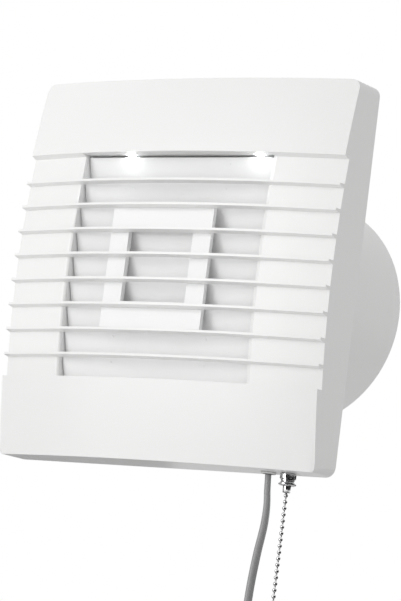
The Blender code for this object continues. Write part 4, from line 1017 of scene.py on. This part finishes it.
def bushingProfile(start):
    s = switch
    outer, waist, flare, nozzle = s["outer"], s["waist"], s["lip"], s["nozzle"]
    bottom = cover["bottom"]
    top, lip, low = bottom + s["bushingTop"], bottom - s["lipDrop"], bottom - s["nozzleDrop"]
    profile = [(s["bore"], top), (outer, top), (outer, start), (waist + 0.25, start),
               (waist + 0.25, start - 0.35), (waist - 0.1, start - 0.55), (waist - 0.1, start - 0.8)]
    profile += [(3.55 + 0.95 * t ** 1.8, start - 1.0 - (start - 1.0 - lip - 0.5) * t)
                for t in (0, 0.25, 0.5, 0.75, 1.0)]
    profile += [(flare, lip), (flare - 0.5, lip - 0.25), (3.4, lip + 0.1), (2.7, lip)]
    return profile + [(nozzle + 0.15, lip - 0.4), (nozzle, lip - 1.0), (nozzle - 0.1, low + 0.5),
                      (nozzle + 0.12, low + 0.2), (nozzle - 0.1, low), (s["bore"], low)]


def chainProfile(top):
    radius, steps = switch["bead"], switch["beadSteps"]
    neck = asin(switch["beadNeck"] / radius)
    turns = [neck + (pi - 2 * neck) * k / steps for k in range(steps + 1)]
    beads = []
    for k in range(switch["beads"]):
        middle = top - radius - k * switch["pitch"]
        beads += [(radius * sin(turn), middle + radius * cos(turn)) for turn in turns]
    return [(0, top)] + beads + [(0, beads[-1][1] - 0.1)]


def pullProfile(top):
    r, h = switch["pullRadius"], switch["pullLength"]
    outline = [(0, top), (r * 0.42, top), (r * 0.5, top - 1.2), (r * 0.46, top - 2.4)]
    outline += [(r * wide, top - h * down) for wide, down in switch["bell"]]
    return filleted(outline, switch["pullRound"], closed=False)


def makeSwitch():
    s = switch
    start = cover["bottom"] - fit
    under = start - s["nutHeight"]
    chainTop = cover["bottom"] + cover["wall"]
    pullTop = chainTop - s["bead"] * 2 - (s["beads"] - 1) * s["pitch"] - fit
    nut = lathe(nutProfile(start, under), 64, "Z", s["place"])
    bushing = lathe(bushingProfile(under - fit), 64, "Z", s["place"])
    chain = lathe(chainProfile(chainTop), 24, "Z", s["place"])
    pull = lathe(pullProfile(pullTop), 48, "Z", s["place"])
    addPiece("switchNut", nut, "chrome", ["switch_nut"])
    addPiece("switchBushing", bushing, "chrome", ["switch_bushing"], sharp=50)
    addPiece("pullChain", chain, "chrome", ["pull_chain"], body="chain", sharp=60, weighted=False)
    addPiece("chainPull", pull, "white_moulding", ["chain_pull"], body="chain")


makeSwitch()
print("lamps and pull switch made")


# impeller: a hub with seven curved vanes that thin towards their edges
wheel = {
    "vanes": 7, "hub": 20.0, "hubFront": 4.0, "hubLength": 23.0, "hubWall": 2.2, "chamfer": (2.4, 2.2),
    "boss": 5.5, "bossDrop": 3, "bore": 2.3, "round": 0.5, "hubSteps": 84, "bossSteps": 48,
    "tip": 57.0, "front": 5.5, "depth": 20.0, "turn": 44.0, "thick": 1.6, "across": 14, "along": 16,
}


# a grid of points on one side of a vane, from root to tip and from front to rear
def vaneSide(bm, index, side):
    w = wheel
    root = w["hub"] - w["hubWall"] / 2
    rows = []
    for i in range(w["across"] + 1):
        u = i / w["across"]
        row = []
        for j in range(w["along"] + 1):
            v = j / w["along"] - 0.5
            radius = root + (w["tip"] - root) * u
            turn = radians(w["turn"]) * v * (1 - 0.25 * u) + 0.10 * u + 2 * pi * index / w["vanes"]
            y = w["front"] + w["depth"] * (0.5 + v * (1 - 0.12 * u))
            edge = sqrt(max(1 - (2 * v) ** 6, 0.0)) * sqrt(max(1 - u ** 12, 0.02))
            lift = side * w["thick"] / 2 * (0.12 + 0.88 * edge)
            place = Vector((radius * cos(turn), y, radius * sin(turn)))
            normal = Vector((-sin(turn) * w["depth"], -radius * radians(w["turn"]), cos(turn) * w["depth"]))
            row.append(bm.verts.new((place + normal.normalized() * lift) * mm))
        rows.append(row)
    return rows


def vane(index):
    across, along = wheel["across"], wheel["along"]
    bm = bmesh.new()
    low, high = [vaneSide(bm, index, side) for side in (-1, 1)]
    for i in range(across):
        for j in range(along):
            for rows in (low, high):
                bm.faces.new((rows[i][j], rows[i + 1][j], rows[i + 1][j + 1], rows[i][j + 1]))
    for j in range(along):
        for i in (0, across):
            bm.faces.new((low[i][j], low[i][j + 1], high[i][j + 1], high[i][j]))
    for i in range(across):
        for j in (0, along):
            bm.faces.new((low[i][j], low[i + 1][j], high[i + 1][j], high[i][j]))
    return bm


def makeWheel():
    w = wheel
    outer, inner, front = w["hub"], w["hub"] - w["hubWall"], w["hubFront"]
    floor, end = front + w["hubWall"], front + w["hubLength"]
    chamferIn, chamferBack = w["chamfer"]
    bossEnd = end - w["bossDrop"]
    profile = [(outer, end), (outer, front + chamferBack), (outer - chamferIn, front), (w["bore"], front),
               (w["bore"], bossEnd), (w["boss"], bossEnd), (w["boss"], floor), (inner, floor), (inner, end)]
    hub = lathe(filleted(profile, w["round"], 3), w["hubSteps"], "Y")
    vanes = merged([vane(k) for k in range(w["vanes"])])
    core = rod(w["boss"] + fit, floor - through, end + 9, steps=w["bossSteps"])
    inside = carve(rod(inner, floor, end + through, steps=w["hubSteps"]), [(cut, core)])
    whole = carve(hub, [(join, vanes), (cut, inside)])
    addPiece("impeller", whole, "grey_moulding", ["impeller"], body="impeller_shaft")


makeWheel()
print("impeller made")


# CAD nodes that stay get their slot's finish and lightly broken edges
edgeWidths = {
    "shutter_surround": 0.3, "shutter_side_bar": 0.2, "actuator_body": 0.3, "motor_cap": 0.4,
    "lamp_board": 0.1,
}
slotOf = {row["node"]: row["material_slot"] for row in frame["record"]["subparts"]}
for name, node in cad.items():
    if node.hide_render:
        continue
    node.data.materials.clear()
    node.data.materials.append(finishes[slotOf[name]].material)
    if name in edgeWidths:
        weld = node.modifiers.new("weld", "WELD")
        weld.merge_threshold = 1e-6
        bevel(node, edgeWidths[name])
print("nodes dressed")


# floor, curtain, world and light
studio = {
    "floorSize": 3.0, "floorDrop": 0.001, "ambient": 0.6, "behind": 0.82, "behindPlace": (0.6, 0.8, 0.0),
    "key": 18.7, "keyPlace": (-0.9, -2.1, 0.35), "keySize": 1.1,
}


# each arc of the curtain: from and to in degrees, radius and top in metres
curtain = {
    "centre": (0.075, -0.009), "foot": -0.355, "steps": 16,
    "arcs": ((-97, 36, 0.2, -0.02), (36, 85, 0.06, -0.094), (140, 205, 0.2, -0.05)),
}


def studioFinish(name, colour, roughness):
    finish = Finish(name, colour, roughness)
    finish.set({"Roughness": roughness - 0.05 + finish.noise(8, 2) * 0.1})
    return finish


def makeFloor():
    low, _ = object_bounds()
    bm = bmesh.new()
    bmesh.ops.create_grid(bm, x_segments=1, y_segments=1, size=studio["floorSize"])
    bmesh.ops.translate(bm, vec=(0, 0, low.z - studio["floorDrop"]), verts=bm.verts)
    floor = toObject(bm, "floor")
    floor.data.materials.append(studioFinish("floorPaint", (0.9, 0.9, 0.9), 0.7).material)


# a dark curtain round the camera, seen only by the shiny metal that reflects it
def makeCurtain():
    k = curtain
    bm = bmesh.new()
    for start, end, radius, top in k["arcs"]:
        rows = []
        for i in range(k["steps"] + 1):
            angle = radians(start + (end - start) * i / k["steps"])
            x, y = k["centre"][0] + radius * cos(angle), k["centre"][1] + radius * sin(angle)
            rows.append([bm.verts.new((x, y, level)) for level in (k["foot"], top)])
        for (low, high), (nextLow, nextHigh) in zip(rows, rows[1:]):
            bm.faces.new((low, nextLow, nextHigh, high))
    hanging = toObject(bm, "curtain")
    hanging.data.materials.append(studioFinish("curtainCloth", (0.02, 0.02, 0.02), 0.9).material)
    hanging.visible_camera = hanging.visible_diffuse = hanging.visible_shadow = False


# the camera, mirrors and glass see white; all else gets the ambient light, weaker on one side
def makeWorld():
    world = bpy.data.worlds.new("studio")
    scene.world = world
    world.use_nodes = True
    sky = Graph(world.node_tree)
    rays = sky.node("ShaderNodeLightPath", output="Is Camera Ray")
    seen = rays
    for other in ("Is Glossy Ray", "Is Transmission Ray"):
        seen = seen.maths("MAXIMUM", seen, rays.beside(other))
    where = sky.node("ShaderNodeTexCoord", output="Generated")
    sides = {0: where, 1: studio["behindPlace"]}
    facing = sky.node("ShaderNodeVectorMath", {"operation": "DOT_PRODUCT"}, sides, output="Value")
    ambient, behind = studio["ambient"], studio["ambient"] * studio["behind"]
    dimmed = sky.node("ShaderNodeMapRange", None, {"Value": facing, "To Min": ambient, "To Max": behind})
    level = sky.node("ShaderNodeMapRange", None, {"Value": seen, "To Min": dimmed, "To Max": 1.0})
    sky.fill(world.node_tree.nodes["Background"], {"Color": (1, 1, 1, 1), "Strength": level})


def makeLight():
    data = bpy.data.lights.new("keyLight", "AREA")
    data.energy = studio["key"]
    data.size = studio["keySize"]
    light = bpy.data.objects.new("keyLight", data)
    light.location = studio["keyPlace"]
    light.rotation_euler = (-light.location).to_track_quat("-Z", "Y").to_euler()
    scene.collection.objects.link(light)


makeFloor()
makeCurtain()
makeWorld()
makeLight()
scene.view_settings.view_transform = "Standard"
print("studio made")
